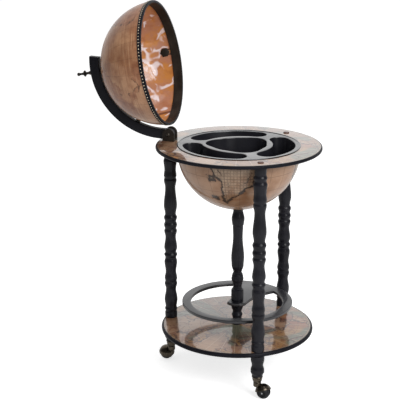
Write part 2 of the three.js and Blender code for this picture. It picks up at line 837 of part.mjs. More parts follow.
// The ring board lies in X and Y. The tongue runs along +X here and ends round the posts. Its right side is the wide one.
function ringOpening() {
  const wideRoot = Math.asin(tongueWideSpread / ringOpeningRadius);
  const narrowRoot = Math.asin(tongueNarrowSpread / ringOpeningRadius);
  const wideEnd = Math.asin(tongueWideSide / tongueEndRadius);
  const narrowEnd = Math.asin(tongueNarrowSide / tongueEndRadius);
  const wideRootX = ringOpeningRadius * Math.cos(wideRoot) - ringOpeningShift;
  const narrowRootX = ringOpeningRadius * Math.cos(narrowRoot) - ringOpeningShift;
  const wideEndX = -tongueEndRadius * Math.cos(wideEnd);
  const narrowEndX = -tongueEndRadius * Math.cos(narrowEnd);
  const side = (from, bend, to) => new THREE.QuadraticBezierCurve(
    new THREE.Vector2(...from), new THREE.Vector2(...bend), new THREE.Vector2(...to),
  ).getPoints(sideSteps).slice(1, -1).map((point) => [point.x, point.y]);
  const bendX = tongueBendShare * narrowRootX;
  return [
    ...arc(-ringOpeningShift, 0, ringOpeningRadius, narrowRoot, 2 * Math.PI - wideRoot, discSides - sideSteps),
    ...side([wideRootX, -tongueWideSpread], [bendX, -tongueWideSide], [wideEndX, -tongueWideSide]),
    ...arc(0, 0, tongueEndRadius, Math.PI + wideEnd, Math.PI - narrowEnd, knuckleSteps),
    ...side([narrowEndX, tongueNarrowSide], [bendX, tongueNarrowSide], [narrowRootX, tongueNarrowSpread]),
  ];
}

function bottleRing() {
  const shape = shapeOf(arc(0, 0, ringOuterRadius, 0, 2 * Math.PI, discSides).slice(1));
  shape.holes.push(shapeOf(ringOpening()));
  const geometry = plateOf(shape, ringThickness, ringEdge);
  geometry.translate(0, 0, ringTopHeight - ringThickness / 2).rotateZ(degrees(tongueAngle));
  return cut(geometry, rod(studRadius + seatGap, ringUnderside - overrun, ringTopHeight + overrun));
}

// Casters. The frame is the swivel's, on the floor, with the wheels trailing along +X and the axle along Y.
const axleHeight = wheelRadius * Math.cos(Math.PI / wheelSides);
const ballRadius = Math.hypot(wheelRadius, wheelTread);
const hoodFacetShare = Math.cos(Math.PI / wheelSides) * Math.cos(Math.PI / (4 * hoodSteps));
const hoodInner = (ballRadius + hoodGap) / hoodFacetShare;
const hoodOuter = hoodInner + hoodWall;
const hoodTop = casterSocketHeight - casterSocketLength;
const bossTop = hoodTop - seatGap;

function casterSocket() {
  const hole = stemRadius + turnGap;
  const lip = casterSocketLength / 8;
  const outline = [
    [hole, hoodTop],
    [casterNeckRadius, hoodTop],
    [(casterNeckRadius + casterSocketRadius) / 2, hoodTop + casterSocketLength / 3],
    [casterSocketRadius, casterSocketHeight - 2 * lip],
    [casterSocketRadius, casterSocketHeight - lip],
    [casterSocketRadius - lip, casterSocketHeight],
    [hole, casterSocketHeight],
  ];
  return ring(outline, turnedSides);
}

// The hood: half a hollow ball over both wheels, its rim lower towards the swivel, with the axle's fin between them
function casterHood() {
  const place = (geometry) => geometry.rotateY(-degrees(hoodTiltAngle)).translate(casterTrail, 0, axleHeight);
  const drop = Math.asin(hoodDrop / hoodOuter);
  const outer = arc(0, 0, hoodOuter, -drop, Math.PI / 2, hoodSteps);
  const inner = arc(0, 0, hoodInner, Math.PI / 2, -drop, hoodSteps);
  const middleRadius = (hoodInner + hoodOuter) / 2;
  const finOutline = [
    ...arc(0, 0, middleRadius, 0, Math.PI, knuckleSteps),
    ...arc(0, 0, finHubRadius, Math.PI, 2 * Math.PI, knuckleSteps / 2),
  ];
  const ball = turned(arc(0, 0, middleRadius, -Math.PI / 2, Math.PI / 2, 2 * hoodSteps), wheelSides);
  const boss = cut(rod(bossRadius, bossTop - bossLength, bossTop, turnedSides), place(ball));
  const shell = ring([...outer, ...inner], wheelSides);
  const axleWay = alongY(rod(axleRadius + turnGap, -wheelRadius, wheelRadius)).translate(casterTrail, 0, axleHeight);
  const stemWay = rod(stemRadius + turnGap, bossTop - bossLength / 2 - seatGap, bossTop + overrun);
  return cut(join(place(shell), place(sidePlate(finOutline, finThickness, 0)), boss), axleWay, stemWay);
}

function casterStem() {
  const low = bossTop - bossLength / 2;
  return rod(stemRadius, low, casterSocketHeight + seatGap + stemDepth);
}

function casterAxle() {
  return alongY(rod(axleRadius, -axleHalfLength, axleHalfLength)).translate(casterTrail, 0, axleHeight);
}

function casterWheel(side) {
  const inner = finThickness / 2 + finGap;
  const from = Math.atan2(wheelTread, wheelRadius);
  const to = Math.asin(wheelHalfWidth / ballRadius);
  const face = arc(0, 0, ballRadius, from, to, roundSteps);
  const hole = axleRadius + turnGap;
  const outline = [
    [hole, inner],
    [wheelRadius, inner],
    ...face,
    [wheelHubRadius, wheelHalfWidth],
    [wheelHubRadius - wheelDish, wheelHalfWidth - wheelDish],
    [hole, wheelHalfWidth - wheelDish],
    [hole, inner],
  ];
  const points = outline.map(([radius, height]) => new THREE.Vector2(radius, height));
  const wheel = new THREE.LatheGeometry(points, wheelSides).rotateY(Math.PI / wheelSides);
  if (side < 0) wheel.rotateZ(Math.PI);
  return wheel.translate(casterTrail, 0, axleHeight);
}

function addStand(parent) {
  piece("table_ring", "printedBoard", tableRing(), parent);
  piece("tray_insert", "glossBlack", trayInsert(), parent);
  piece("bowl_shell", "mapPaper", bowlShell(), parent);
  const bowlScrew = screw(postScrewRadius, postScrewDepth, postScrewHeadRadius, postScrewHeadHeight);
  piece("bowl_screw", "steel", bowlScrew, parent).position.z = bowlSeatInner + seatGap;
  piece("upper_post", "satinBlack", upperPost(), parent);
  piece("bottle_ring", "satinBlack", bottleRing(), parent);
  const postStudLow = ringUnderside - postStudDepth;
  piece("post_stud", "steel", rod(studRadius, postStudLow, upperPostBottom + postStudDepth - seatGap), parent);
  piece("lower_post", "satinBlack", lowerPost(), parent);
  piece("bottom_shelf", "printedBoard", bottomShelf(), parent);
  const shelfScrewLength = shelfThickness + postStudDepth;
  const shelfScrew = screw(postScrewRadius, shelfScrewLength, legScrewHeadRadius, legScrewHeadHeight);
  const placed = piece("shelf_screw", "steel", shelfScrew.rotateX(Math.PI), parent);
  placed.position.z = shelfUnderside - seatGap;
}

function addLeg(parent, index) {
  const group = new THREE.Group();
  group.rotation.z = legAngles[index];
  parent.add(group);
  const place = new THREE.Group();
  place.position.x = legCircleRadius;
  group.add(place);
  const number = index + 1;
  piece(`leg_${number}`, "satinBlack", leg(), place);
  piece(`leg_stud_${number}`, "steel", legStud(), place);
  piece(`leg_screw_${number}`, "steel", legScrew(), place);
  if (index > 0) piece(`leg_cap_${number}`, "capWood", legCap(), place);
  piece(`foot_${number}`, "satinBlack", foot(), place);
  piece(`caster_socket_${number}`, "brass", casterSocket(), place);
  const swivel = new THREE.Group();
  swivel.rotation.z = degrees(trailAngles[index]) - legAngles[index];
  place.add(swivel);
  piece(`caster_stem_${number}`, "steel", casterStem(), swivel);
  piece(`caster_hood_${number}`, "brass", casterHood(), swivel);
  piece(`caster_axle_${number}`, "steel", casterAxle(), swivel);
  piece(`caster_wheel_${number}_left`, "wheelBlack", casterWheel(1), swivel);
  piece(`caster_wheel_${number}_right`, "wheelBlack", casterWheel(-1), swivel);
}

function addHinge(parent) {
  const hinge = new THREE.Group();
  hinge.position.set(-legCircleRadius, 0, tableTopHeight + pivotHeight);
  parent.add(hinge);
  piece("hinge_bracket", "trimBlack", bracket(), hinge);
  piece("hinge_bolt", "darkMetal", hingeBolt(), hinge);
  piece("hinge_nut", "darkMetal", hingeNut(), hinge);
  for (const [name, side] of [["bracket_screw_outer", -1], ["bracket_screw_inner", 1]]) {
    const height = bracketBase - pivotHeight - bracketScrewHeadHeight;
    const made = screw(bracketScrewRadius, bracketScrewLength, bracketScrewHeadRadius, bracketScrewHeadHeight);
    piece(name, "steel", made, hinge).position.set(side * bracketScrewOffset, 0, height);
  }
  return hinge;
}

// The lid is drawn closed, about the centre of its mouth, and then opened about the hinge.
function addLid(hinge) {
  const opened = new THREE.Group();
  opened.rotation.y = -openAngle;
  hinge.add(opened);
  const lid = new THREE.Group();
  lid.position.set(legCircleRadius, 0, -pivotRise);
  opened.add(lid);
  piece("dome_shell", "mapPaper", domeShell(), lid);
  piece("dome_liner", "trimBlack", domeLiner(), lid);
  piece("dome_edge_band", "trimBlack", edgeBand(), lid);
  piece("latch_plate_back", "trimBlack", latchPlate(1), lid);
  piece("latch_plate_front", "trimBlack", latchPlate(-1), lid);
  piece("meridian_arm", "satinBlack", meridianArm(), lid);
  piece("pole_spacer", "trimBlack", poleSpacer(), lid);
  piece("pole_nut", "steel", poleNut(), lid);
  piece("finial", "darkMetal", finial(), lid);
  piece("rim_spacer", "trimBlack", rimSpacer(), lid);
  piece("rim_screw", "steel", rimScrew(), lid);
}

// The origin is on the floor, under the middle of the open globe bar's box.
const globeBar = new THREE.Group();
const stand = new THREE.Group();
globeBar.add(stand);
addStand(stand);
legAngles.forEach((_, index) => addLeg(stand, index));
addLid(addHinge(stand));
globeBar.updateMatrixWorld(true);
const box = new THREE.Box3().setFromObject(globeBar, true);
stand.position.set(-(box.min.x + box.max.x) / 2, -(box.min.y + box.max.y) / 2, -box.min.z);

export default globeBar;
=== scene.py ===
# %% [markdown]
# # A floor globe bar
#
# The object is a globe on three turned legs. The upper half of the globe is a lid that swings back on an
# arm, and under it a black moulded insert holds bottles and glasses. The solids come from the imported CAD
# model. This script builds the smooth surfaces around them and gives each one its finish.

# %% Load the frame
import json
import math

import bpy
import numpy as np
from mathutils import Matrix, Vector


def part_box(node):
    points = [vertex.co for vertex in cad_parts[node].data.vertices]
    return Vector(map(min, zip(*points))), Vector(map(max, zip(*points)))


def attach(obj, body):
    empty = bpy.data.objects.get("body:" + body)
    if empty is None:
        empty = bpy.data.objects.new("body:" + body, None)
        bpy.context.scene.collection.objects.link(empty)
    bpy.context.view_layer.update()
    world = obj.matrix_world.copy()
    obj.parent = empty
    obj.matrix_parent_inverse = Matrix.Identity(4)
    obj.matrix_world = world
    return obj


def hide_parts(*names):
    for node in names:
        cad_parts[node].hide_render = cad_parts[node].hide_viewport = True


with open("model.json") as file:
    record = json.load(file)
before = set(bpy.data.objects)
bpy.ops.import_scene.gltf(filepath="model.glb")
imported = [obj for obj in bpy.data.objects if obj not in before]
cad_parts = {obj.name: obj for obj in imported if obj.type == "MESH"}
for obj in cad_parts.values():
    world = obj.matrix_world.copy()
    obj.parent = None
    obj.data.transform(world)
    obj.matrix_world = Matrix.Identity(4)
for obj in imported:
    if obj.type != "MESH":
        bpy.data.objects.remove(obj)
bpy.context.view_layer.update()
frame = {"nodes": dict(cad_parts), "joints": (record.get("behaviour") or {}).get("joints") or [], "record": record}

# %% [markdown]
# ## Places
#
# Every place comes from the frame where it can. The stand turns about one upright axis through the table's
# middle, and the lid turns about the hinge's bolt. The lid is easiest to build shut, with the middle of its
# mouth at the origin, so `lid_place` carries a shut lid to where it hangs open.

# %% Axes of the stand and of the lid
MM = 0.001
joints = {joint["name"]: joint for joint in frame["joints"]}
table_low, table_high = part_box("table_ring")
tray_low, tray_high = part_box("tray_insert")
shelf_low, shelf_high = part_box("bottom_shelf")
stand_axis = Vector(((table_low.x + table_high.x) / 2, 0, 0))
hinge = Vector(joints["lid_hinge"]["pos_m"])
open_angle = math.radians(joints["lid_hinge"]["range_deg"][1])
seat_gap = 0.3 * MM
mouth_centre = Vector((stand_axis.x, 0, tray_high.z + seat_gap))
lid_place = (
    Matrix.Translation(hinge)
    @ Matrix.Rotation(-open_angle, 4, "Y")
    @ Matrix.Translation(mouth_centre - hinge)
)
leg_circle = stand_axis.x - hinge.x
leg_angles = [math.pi, -math.pi / 3, math.pi / 3]
leg_places = [stand_axis + leg_circle * Vector((math.cos(a), math.sin(a), 0)) for a in leg_angles]
print("hinge", tuple(round(value, 4) for value in hinge), "open", round(math.degrees(open_angle), 2))

# %% [markdown]
# ## Camera
#
# The photograph was taken with a long lens from the front, a little from the right and from above. The
# place and the direction were solved from the outlines of the discs, so they are named values here.

# %% Camera
camera_offset = Vector((0.68325, -2.90917, 1.40306))
camera_forward = Vector((-0.25101, 0.92294, -0.29183))
camera_lens = 103.87
camera_data = bpy.data.cameras.new("camera")
camera_data.lens = camera_lens
camera_data.sensor_width = 36
camera_data.shift_x, camera_data.shift_y = 0.0006, 0.0015
camera = bpy.data.objects.new("camera", camera_data)
bpy.context.scene.collection.objects.link(camera)
camera.location = stand_axis + camera_offset
camera.rotation_euler = camera_forward.to_track_quat("-Z", "Y").to_euler()
bpy.context.scene.camera = camera
print("camera at", tuple(round(value, 3) for value in camera.location))

# %% [markdown]
# ## Light and floor
#
# The photograph has a white studio round a lacquered object. Most of what the eye reads as its finish is
# that white room, mirrored in the varnish at a low angle. So the world is white to the camera and to
# mirrored rays that go away from it and up, and nearly dark to those that come back towards it, because
# the front of the black legs stays dark. Everything else gets one soft fill.

# %% Node helpers
def add_node(tree, kind, inputs=None, **settings):
    made = tree.nodes.new(kind)
    for key, value in settings.items():
        setattr(made, key, value)
    for key, value in (inputs or {}).items():
        if isinstance(value, bpy.types.NodeSocket):
            tree.links.new(value, made.inputs[key])
        else:
            made.inputs[key].default_value = value
    return made


def math_node(tree, operation, *values):
    return add_node(tree, "ShaderNodeMath", dict(enumerate(values)), operation=operation).outputs[0]


def ramp(tree, value, low, high, to_low=0.0, to_high=1.0):
    """The value eased from one range to another, and held at its ends."""
    inputs = {"Value": value, "From Min": low, "From Max": high, "To Min": to_low, "To Max": to_high}
    return add_node(tree, "ShaderNodeMapRange", inputs, interpolation_type="SMOOTHSTEP").outputs["Result"]


# %% World
fill_strength, front_strength = 0.4, 0.1
backdrop_way = Vector((-0.25, 0.92, 0.45)).normalized()
backdrop_start, backdrop_full = 0.2, 0.85
world = bpy.data.worlds.new("studio")
bpy.context.scene.world = world
world.use_nodes = True
studio = world.node_tree
studio.nodes.clear()
ray_way = add_node(studio, "ShaderNodeTexCoord").outputs["Generated"]
towards = add_node(studio, "ShaderNodeVectorMath", {0: ray_way, 1: backdrop_way}, operation="DOT_PRODUCT")
backdrop = ramp(studio, towards.outputs["Value"], backdrop_start, backdrop_full, front_strength, 1.0)
rays = add_node(studio, "ShaderNodeLightPath").outputs
mirrored = math_node(studio, "MAXIMUM", rays["Is Glossy Ray"], rays["Is Transmission Ray"])
past_fill = math_node(studio, "SUBTRACT", backdrop, fill_strength)
unseen = math_node(studio, "MULTIPLY_ADD", mirrored, past_fill, fill_strength)
short_of_white = math_node(studio, "SUBTRACT", 1.0, unseen)
strength = math_node(studio, "MULTIPLY_ADD", rays["Is Camera Ray"], short_of_white, unseen)
shade = add_node(studio, "ShaderNodeBackground", {"Color": (1, 1, 1, 1), "Strength": strength})
add_node(studio, "ShaderNodeOutputWorld", {"Surface": shade.outputs[0]})
bpy.context.scene.view_settings.view_transform = "Standard"
print("world: fill", fill_strength, "front", front_strength)

# %% Lamps
lamp_aim = Vector((stand_axis.x, 0, 0.5))
lamps = {  # place, size, power, and whether the varnish mirrors the lamp
    "key": ((2.4, -1.9, 2.3), 2.2, 105, True),
    "side": ((-2.2, -1.8, 1.6), 1.6, 5, False),
    "top": ((0.1, 0.3, 3.2), 1.8, 22, True),
}
for name, (spot, size, power, in_varnish) in lamps.items():
    lamp_data = bpy.data.lights.new(name, "AREA")
    lamp_data.shape, lamp_data.size, lamp_data.energy = "DISK", size, power
    lamp = bpy.data.objects.new(name, lamp_data)
    bpy.context.scene.collection.objects.link(lamp)
    lamp.visible_glossy = in_varnish
    lamp.location = spot
    lamp.rotation_euler = (lamp_aim - lamp.location).to_track_quat("-Z", "Y").to_euler()
print("lamps:", *lamps)


# %% Floor
def clear_selection():
    if bpy.context.object and bpy.context.object.mode != "OBJECT":
        bpy.ops.object.mode_set(mode="OBJECT")
    bpy.ops.object.select_all(action="DESELECT")


floor_size, glow_to_camera, glow_in_varnish = 30, 0.7, 0.2
clear_selection()
bpy.ops.mesh.primitive_plane_add(size=floor_size, location=stand_axis)
floor = bpy.context.object
floor.name = "floor"
floor_material = bpy.data.materials.new("white floor")
floor_material.use_nodes = True
ground = floor_material.node_tree
ground.nodes.clear()
rays = add_node(ground, "ShaderNodeLightPath").outputs
glow = math_node(ground, "MULTIPLY", rays["Is Glossy Ray"], glow_in_varnish)
glow = math_node(ground, "MULTIPLY_ADD", rays["Is Camera Ray"], glow_to_camera, glow)
own = add_node(ground, "ShaderNodeBsdfDiffuse", {"Color": (0.8, 0.8, 0.8, 1)})
lit = add_node(ground, "ShaderNodeEmission", {"Color": (1, 1, 1, 1), "Strength": glow})
both = add_node(ground, "ShaderNodeAddShader", {0: own.outputs[0], 1: lit.outputs[0]})
add_node(ground, "ShaderNodeOutputMaterial", {"Surface": both.outputs[0]})
floor.data.materials.append(floor_material)
print("floor", floor_size, "m wide")

# %% [markdown]
# ## Modelling helpers
#
# Most pieces here are turned, moulded or sawn from board. A turned piece is a profile drawn beside its
# axis and spun round it. A sawn piece is a flat outline with thickness and rounded edges. A piece that is
# settled or placed sits at the origin with its place in its mesh, as the CAD nodes do.


# %% Select, apply, copy, join, smooth
def only(*pieces):
    clear_selection()
    for piece in pieces:
        piece.select_set(True)
    bpy.context.view_layer.objects.active = pieces[0]


def edit(piece):
    only(piece)
    bpy.ops.object.mode_set(mode="EDIT")


def modify(piece, kind, **settings):
    only(piece)
    modifier = piece.modifiers.new(kind.title(), kind)
    for key, value in settings.items():
        setattr(modifier, key, value)
    bpy.ops.object.modifier_apply(modifier=modifier.name)


def settle(piece):
    """Put the piece's place, turn and scale into its mesh."""
    only(piece)
    bpy.ops.object.transform_apply(location=True, rotation=True, scale=True)
    return piece


def place(piece, matrix):
    only(piece)
    piece.matrix_world = matrix @ piece.matrix_world
    return settle(piece)


def copied(model, name, matrix):
    """A copy with its own mesh, moved and not yet settled."""
    piece = model.copy()
    piece.data = model.data.copy()
    piece.name = piece.data.name = name
    bpy.context.scene.collection.objects.link(piece)
    piece.matrix_world = matrix
    return piece


def joined(name, *parts):
    only(*parts)
    bpy.ops.object.join()
    parts[0].name = parts[0].data.name = name
    return parts[0]


def smooth(piece, degrees=35):
    only(piece)
    bpy.ops.object.shade_smooth_by_angle(angle=math.radians(degrees))
    return piece


def tidy(piece, distance=0.01 * MM):
    edit(piece)
    bpy.ops.mesh.select_all(action="SELECT")
    bpy.ops.mesh.remove_doubles(threshold=distance)
    bpy.ops.mesh.normals_make_consistent(inside=False)
    bpy.ops.object.mode_set(mode="OBJECT")
    return piece


def paint(piece, *materials):
    piece.data.materials.clear()
    for material in materials:
        piece.data.materials.append(material)
    return piece


def stand_for(piece, body, slot, *nodes):
    """The piece rides on its body and stands for its CAD nodes, which are hidden. The slot is not used."""
    if nodes:
        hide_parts(*nodes)
    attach(piece, body)
    print(piece.name, len(piece.data.polygons), "faces")
    return piece


# %% Profiles spun round an axis
def arc(centre_radius, centre_height, radius, start, stop, steps):
    """Points on an arc, its ends in degrees."""
    angles = [math.radians(start + (stop - start) * step / steps) for step in range(steps + 1)]
    return [(centre_radius + radius * math.cos(a), centre_height + radius * math.sin(a)) for a in angles]


def drawn(name, points):
    """A line drawn by extruding one point along the others. Left in edit mode."""
    clear_selection()
    bpy.ops.mesh.primitive_plane_add(size=MM, location=points[0])
    piece = bpy.context.object
    piece.name = piece.data.name = name
    bpy.ops.object.mode_set(mode="EDIT")
    bpy.ops.mesh.select_all(action="SELECT")
    bpy.ops.mesh.merge(type="CENTER")
    for start, stop in zip(points, points[1:]):
        bpy.ops.mesh.extrude_vertices_move(TRANSFORM_OT_translate={"value": stop - start})
    bpy.ops.mesh.select_all(action="SELECT")
    return piece


def spun(name, outline, axis=Vector((0, 0, 0)), sides=64):
    """A profile of (radius, height) points, drawn and then spun round the upright axis."""
    piece = drawn(name, [axis + Vector((radius, 0, height)) for radius, height in outline])
    bpy.ops.mesh.spin(steps=sides, angle=2 * math.pi, center=(axis.x, axis.y, 0), axis=(0, 0, 1))
    bpy.ops.object.mode_set(mode="OBJECT")
    return tidy(settle(piece))


def turning(shares, length, radius, step):
    """Swell between the listed (height share, radius share) points as a cosine does."""
    points = [(shares[0][1] * radius, 0.0)]
    for (low_share, from_share), (high_share, to_share) in zip(shares, shares[1:]):
        count = max(2, round((high_share - low_share) * length / step))
        for index in range(1, count + 1):
            part = index / count
            ease = (1 - math.cos(math.pi * part)) / 2
            height = (low_share + (high_share - low_share) * part) * length
            points.append(((from_share + (to_share - from_share) * ease) * radius, height))
    return points


# %% Boards sawn from a flat outline
def board(name, outlines, thickness, edge, matrix=Matrix.Identity(4), roundness=3):
    """Closed (x, y) outlines, the first outside and the others holes, made a board about Z = 0."""
    clear_selection()
    curve = bpy.data.curves.new(name, "CURVE")
    curve.dimensions, curve.fill_mode = "2D", "BOTH"
    curve.extrude = thickness / 2 - edge
    curve.bevel_depth, curve.bevel_resolution, curve.offset = edge, roundness, -edge
    for outline in outlines:
        spline = curve.splines.new("POLY")
        spline.points.add(len(outline) - 1)
        spline.points.foreach_set("co", [value for x, y in outline for value in (x, y, 0, 1)])
        spline.use_cyclic_u = True
    piece = bpy.data.objects.new(name, curve)
    bpy.context.scene.collection.objects.link(piece)
    only(piece)
    bpy.ops.object.convert(target="MESH")
    piece = bpy.context.object
    piece.name = piece.data.name = name
    return smooth(place(tidy(piece), matrix), 40)


print("helpers are ready")

# %% [markdown]
# ## Finishes
#
# The wood is lacquered black, with the faintest grain under the lacquer and a sheen that is never quite
# even. The prints are old maps under a thick varnish. A varnish is a coat over the colour: it mirrors the
# white room at a low angle and lets the print show where it mirrors something dark.


# %% A finish and its nodes
class Finish:
    """A procedural material. Its methods add nodes, and most return the socket for the next one."""

    def __init__(
        self, name, roughness=0.4, specular=0.5, metallic=0.0, coat=0.0, coat_roughness=0.05, coat_ior=1.5
    ):
        self.material = bpy.data.materials.new(name)
        self.material.use_nodes = True
        self.tree = self.material.node_tree
        self.surface = self.tree.nodes["Principled BSDF"].inputs
        constants = {
            "Roughness": roughness, "Specular IOR Level": specular, "Metallic": metallic, "IOR": 1.5,
            "Coat Weight": coat, "Coat Roughness": coat_roughness, "Coat IOR": coat_ior,
        }
        for socket, value in constants.items():
            self.surface[socket].default_value = value

    def node(self, kind, inputs=None, **settings):
        return add_node(self.tree, kind, inputs, **settings).outputs

    def math(self, operation, *values):
        return math_node(self.tree, operation, *values)

    def ramp(self, *values):
        return ramp(self.tree, *values)

    def noise(self, where, scale, detail, fineness=0.5, distortion=0.0, stretch=None):
        if stretch:
            where = self.node("ShaderNodeMapping", {"Vector": where, "Scale": stretch})[0]
        inputs = {"Scale": scale, "Detail": detail, "Roughness": fineness, "Distortion": distortion}
        return self.node("ShaderNodeTexNoise", {"Vector": where, **inputs})["Fac"]

    def grain(self, *noise, **more):
        """Noise in the piece's own frame."""
        return self.noise(self.node("ShaderNodeTexCoord")["Object"], *noise, **more)

    def mix(self, factor, first, second):
        """Two colours, each a socket or (red, green, blue), mixed by a factor."""
        first, second = ((*tone, 1) if isinstance(tone, tuple) else tone for tone in (first, second))
        return self.node("ShaderNodeMix", {0: factor, 6: first, 7: second}, data_type="RGBA")[2]

    def layered(self, colour, *layers):
        """The colour under layers of (mask, share, tone), the last on top."""
        for mask, share, tone in layers:
            colour = self.mix(self.math("MULTIPLY", mask, share), colour, tone)
        return colour

    def line(self, value, level, half_width, blur=2.0):
        """One where the value is at the level: a line along its contour."""
        apart = self.math("ABSOLUTE", self.math("SUBTRACT", value, level))
        return self.ramp(apart, half_width, half_width * blur, 1.0, 0.0)

    def lines(self, value, count, half_width, blur=2.0):
        """A line each time that the value has risen by 1 / count."""
        wave = self.math("PINGPONG", self.math("MULTIPLY", value, count), 0.5)
        return self.ramp(wave, half_width, half_width * blur, 1.0, 0.0)

    def colour(self, socket):
        self.tree.links.new(socket, self.surface["Base Color"])

    def bump(self, height, strength, distance):
        inputs = {"Height": height, "Strength": strength, "Distance": distance}
        self.tree.links.new(self.node("ShaderNodeBump", inputs)[0], self.surface["Normal"])


# %% Lacquers, plastics and metals
wander_span = 0.3, 0.7


def worn(name, scale, rough, dark, light, bumps=None, detail=4.0, fineness=0.5, stretch=None, **constants):
    """A colour that wanders from dark to light, its roughness with it. Bumps: noise, strength, height."""
    made = Finish(name, **constants)
    wander = made.grain(scale, detail, fineness, stretch=stretch)
    made.tree.links.new(made.ramp(wander, *wander_span, *rough), made.surface["Roughness"])
    made.colour(made.mix(made.ramp(wander, *wander_span), dark, light))
    if bumps:
        noise, strength, height = bumps
        made.bump(made.grain(**noise), strength, height)
    return made.material


def black_lacquer(name, grain_along, gloss, coat):
    grain = {"scale": 240, "detail": 3.0, "fineness": 0.6, "stretch": grain_along}
    return worn(
        name, 16, (0.32, 0.44), (0.007, 0.007, 0.01), (0.012, 0.012, 0.016),
        (grain, 0.12, 0.3 * MM), specular=gloss, coat=coat, coat_roughness=0.16,
    )


turned_lacquer = black_lacquer("black lacquer, turned", (1, 1, 0.12), 0.13, 0.1)
bent_lacquer = black_lacquer("black lacquer, bent wood", (1, 1, 1), 0.1, 0.03)
edge_lacquer = black_lacquer("black paint on sawn edges", (1, 1, 0.2), 0.06, 0.0)
ring_lacquer = black_lacquer("black lacquer, bottle ring", (0.15, 1, 1), 0.45, 0.45)
gloss_black = worn(
    "gloss black moulding", 9, (0.26, 0.34), (0.006, 0.006, 0.009), (0.01, 0.01, 0.014),
    ({"scale": 60, "detail": 2.0}, 0.05, 0.3 * MM), specular=0.4, coat=0.85, coat_roughness=0.06,
)
trim_black = worn(
    "dark trim", 24, (0.34, 0.48), (0.014, 0.011, 0.009), (0.03, 0.024, 0.019),
    ({"scale": 300, "detail": 2.0}, 0.08, 0.2 * MM), specular=0.12,
)
brass = worn(
    "antique brass", 70, (0.32, 0.24), (0.065, 0.053, 0.041), (0.12, 0.1, 0.077),
    ({"scale": 400, "detail": 2.0}, 0.06, 0.2 * MM), detail=5.0, fineness=0.65, metallic=1.0,
)
bronze = worn("dark bronze", 90, (0.3, 0.45), (0.018, 0.016, 0.014), (0.06, 0.05, 0.04), metallic=0.7)
steel = worn("zinc plated steel", 120, (0.28, 0.42), (0.4, 0.4, 0.41), (0.6, 0.6, 0.59), metallic=1.0)
tread = worn("hard black tread", 50, (0.34, 0.5), (0.006, 0.006, 0.008), (0.012, 0.012, 0.014), specular=0.2)
cap_wood = worn(
    "dark red-brown lacquer", 130, (0.25, 0.4), (0.045, 0.012, 0.008), (0.1, 0.03, 0.016),
    stretch=(1, 6, 1), coat=0.4,
)
gilt = worn("pale gilt beads", 180, (0.28, 0.45), (0.45, 0.34, 0.22), (0.75, 0.64, 0.48), metallic=0.3)
print("finishes:", len(bpy.data.materials))

# %% [markdown]
# ## Old map
#
# The globe's print is an old map: parchment seas, warmer lands, a brown coast with a soft shadow, a net of
# thin lines. The coasts are written as rough outlines in latitude and longitude. Each vertex of the shell
# keeps its distance to the nearest coast, above zero on land, so the shader can draw a crisp line at any
# scale and roughen it with noise.

# %% Coast outlines, as (latitude, longitude) in degrees
coasts = {
    "south america": [
        (12, -72), (10, -64), (8, -60), (4, -51), (-1, -48), (-3, -40), (-8, -35), (-13, -39), (-22, -41),
        (-25, -48), (-33, -55.5), (-36, -60), (-40, -65), (-43.5, -67.5), (-47, -70), (-45, -72),
        (-41, -72.5), (-30, -71), (-18, -71), (-14, -76), (-5, -81), (1, -79), (8, -77),
    ],
    "north america": [
        (8, -79), (10, -84), (16, -95), (21, -105), (30, -115), (38, -123), (48, -125), (57, -135),
        (60, -147), (57, -158), (65, -166), (71, -156), (69, -130), (68, -108), (62, -94), (56, -88),
        (52, -80), (58, -78), (62, -72), (57, -62), (52, -56), (46, -64), (42, -71), (35, -76), (28, -81),
        (30, -88), (29, -95), (21, -97), (19, -91), (21, -87), (15, -84),
    ],
    "greenland": [(60, -44), (66, -54), (76, -68), (82, -50), (82, -24), (73, -22), (67, -34)],
    "eurasia": [
        (36, -6), (44, -9), (48, -4), (53, 6), (57, 9), (55, 15), (60, 22), (65, 24), (60, 6), (70, 20),
        (67, 42), (70, 68), (76, 100), (72, 130), (70, 178), (62, 178), (58, 162), (52, 157), (60, 155),
        (54, 137), (43, 133), (38, 128), (35, 126), (39, 120), (30, 122), (22, 113), (20, 106), (10, 108),
        (13, 100), (2, 104), (8, 98), (20, 93), (21, 88), (8, 78), (22, 71), (26, 60), (30, 49), (24, 56),
        (15, 52), (13, 44), (28, 35), (36, 36), (36, 28), (41, 28), (38, 22), (45, 13), (38, 16), (44, 8),
        (37, -1),
    ],
    "africa": [
        (35, -6), (37, 10), (31, 20), (31, 32), (22, 37), (11, 43), (12, 51), (0, 43), (-12, 40),
        (-24, 35), (-34, 26), (-34, 18), (-20, 13), (-5, 12), (4, 9), (5, -5), (8, -13), (15, -17),
        (28, -13),
    ],
    "madagascar": [(-12, 49), (-18, 49), (-25, 46), (-22, 43), (-15, 46)],
    "australia": [
        (-11, 142), (-17, 146), (-28, 153), (-38, 149), (-38, 140), (-32, 133), (-34, 119), (-25, 114),
        (-18, 122), (-12, 131), (-15, 136), (-17, 140),
    ],
    "islands": [(-3, 100), (-6, 106), (-8, 118), (-4, 120), (2, 117), (5, 117), (4, 108), (5, 96)],
    "new guinea": [(-2, 132), (-4, 144), (-10, 150), (-8, 140)],
    "new zealand": [(-35, 173), (-41, 176), (-46, 170), (-44, 168)],
    "britain": [(50, -5), (51, 1), (58, -3), (57, -6)],
    "japan": [(32, 131), (35, 140), (43, 145), (42, 140), (36, 136)],
    "north islet": [(-12.5, -84.5), (-13, -79.5), (-17, -78), (-17.5, -83)],
    "south islet": [(-36.5, -85.5), (-37.5, -79.5), (-40.5, -79.5), (-39.5, -85.5)],
}
south_coast_latitude, south_coast_swing = -69, 4
print("coast points:", sum(len(points) for points in coasts.values()))


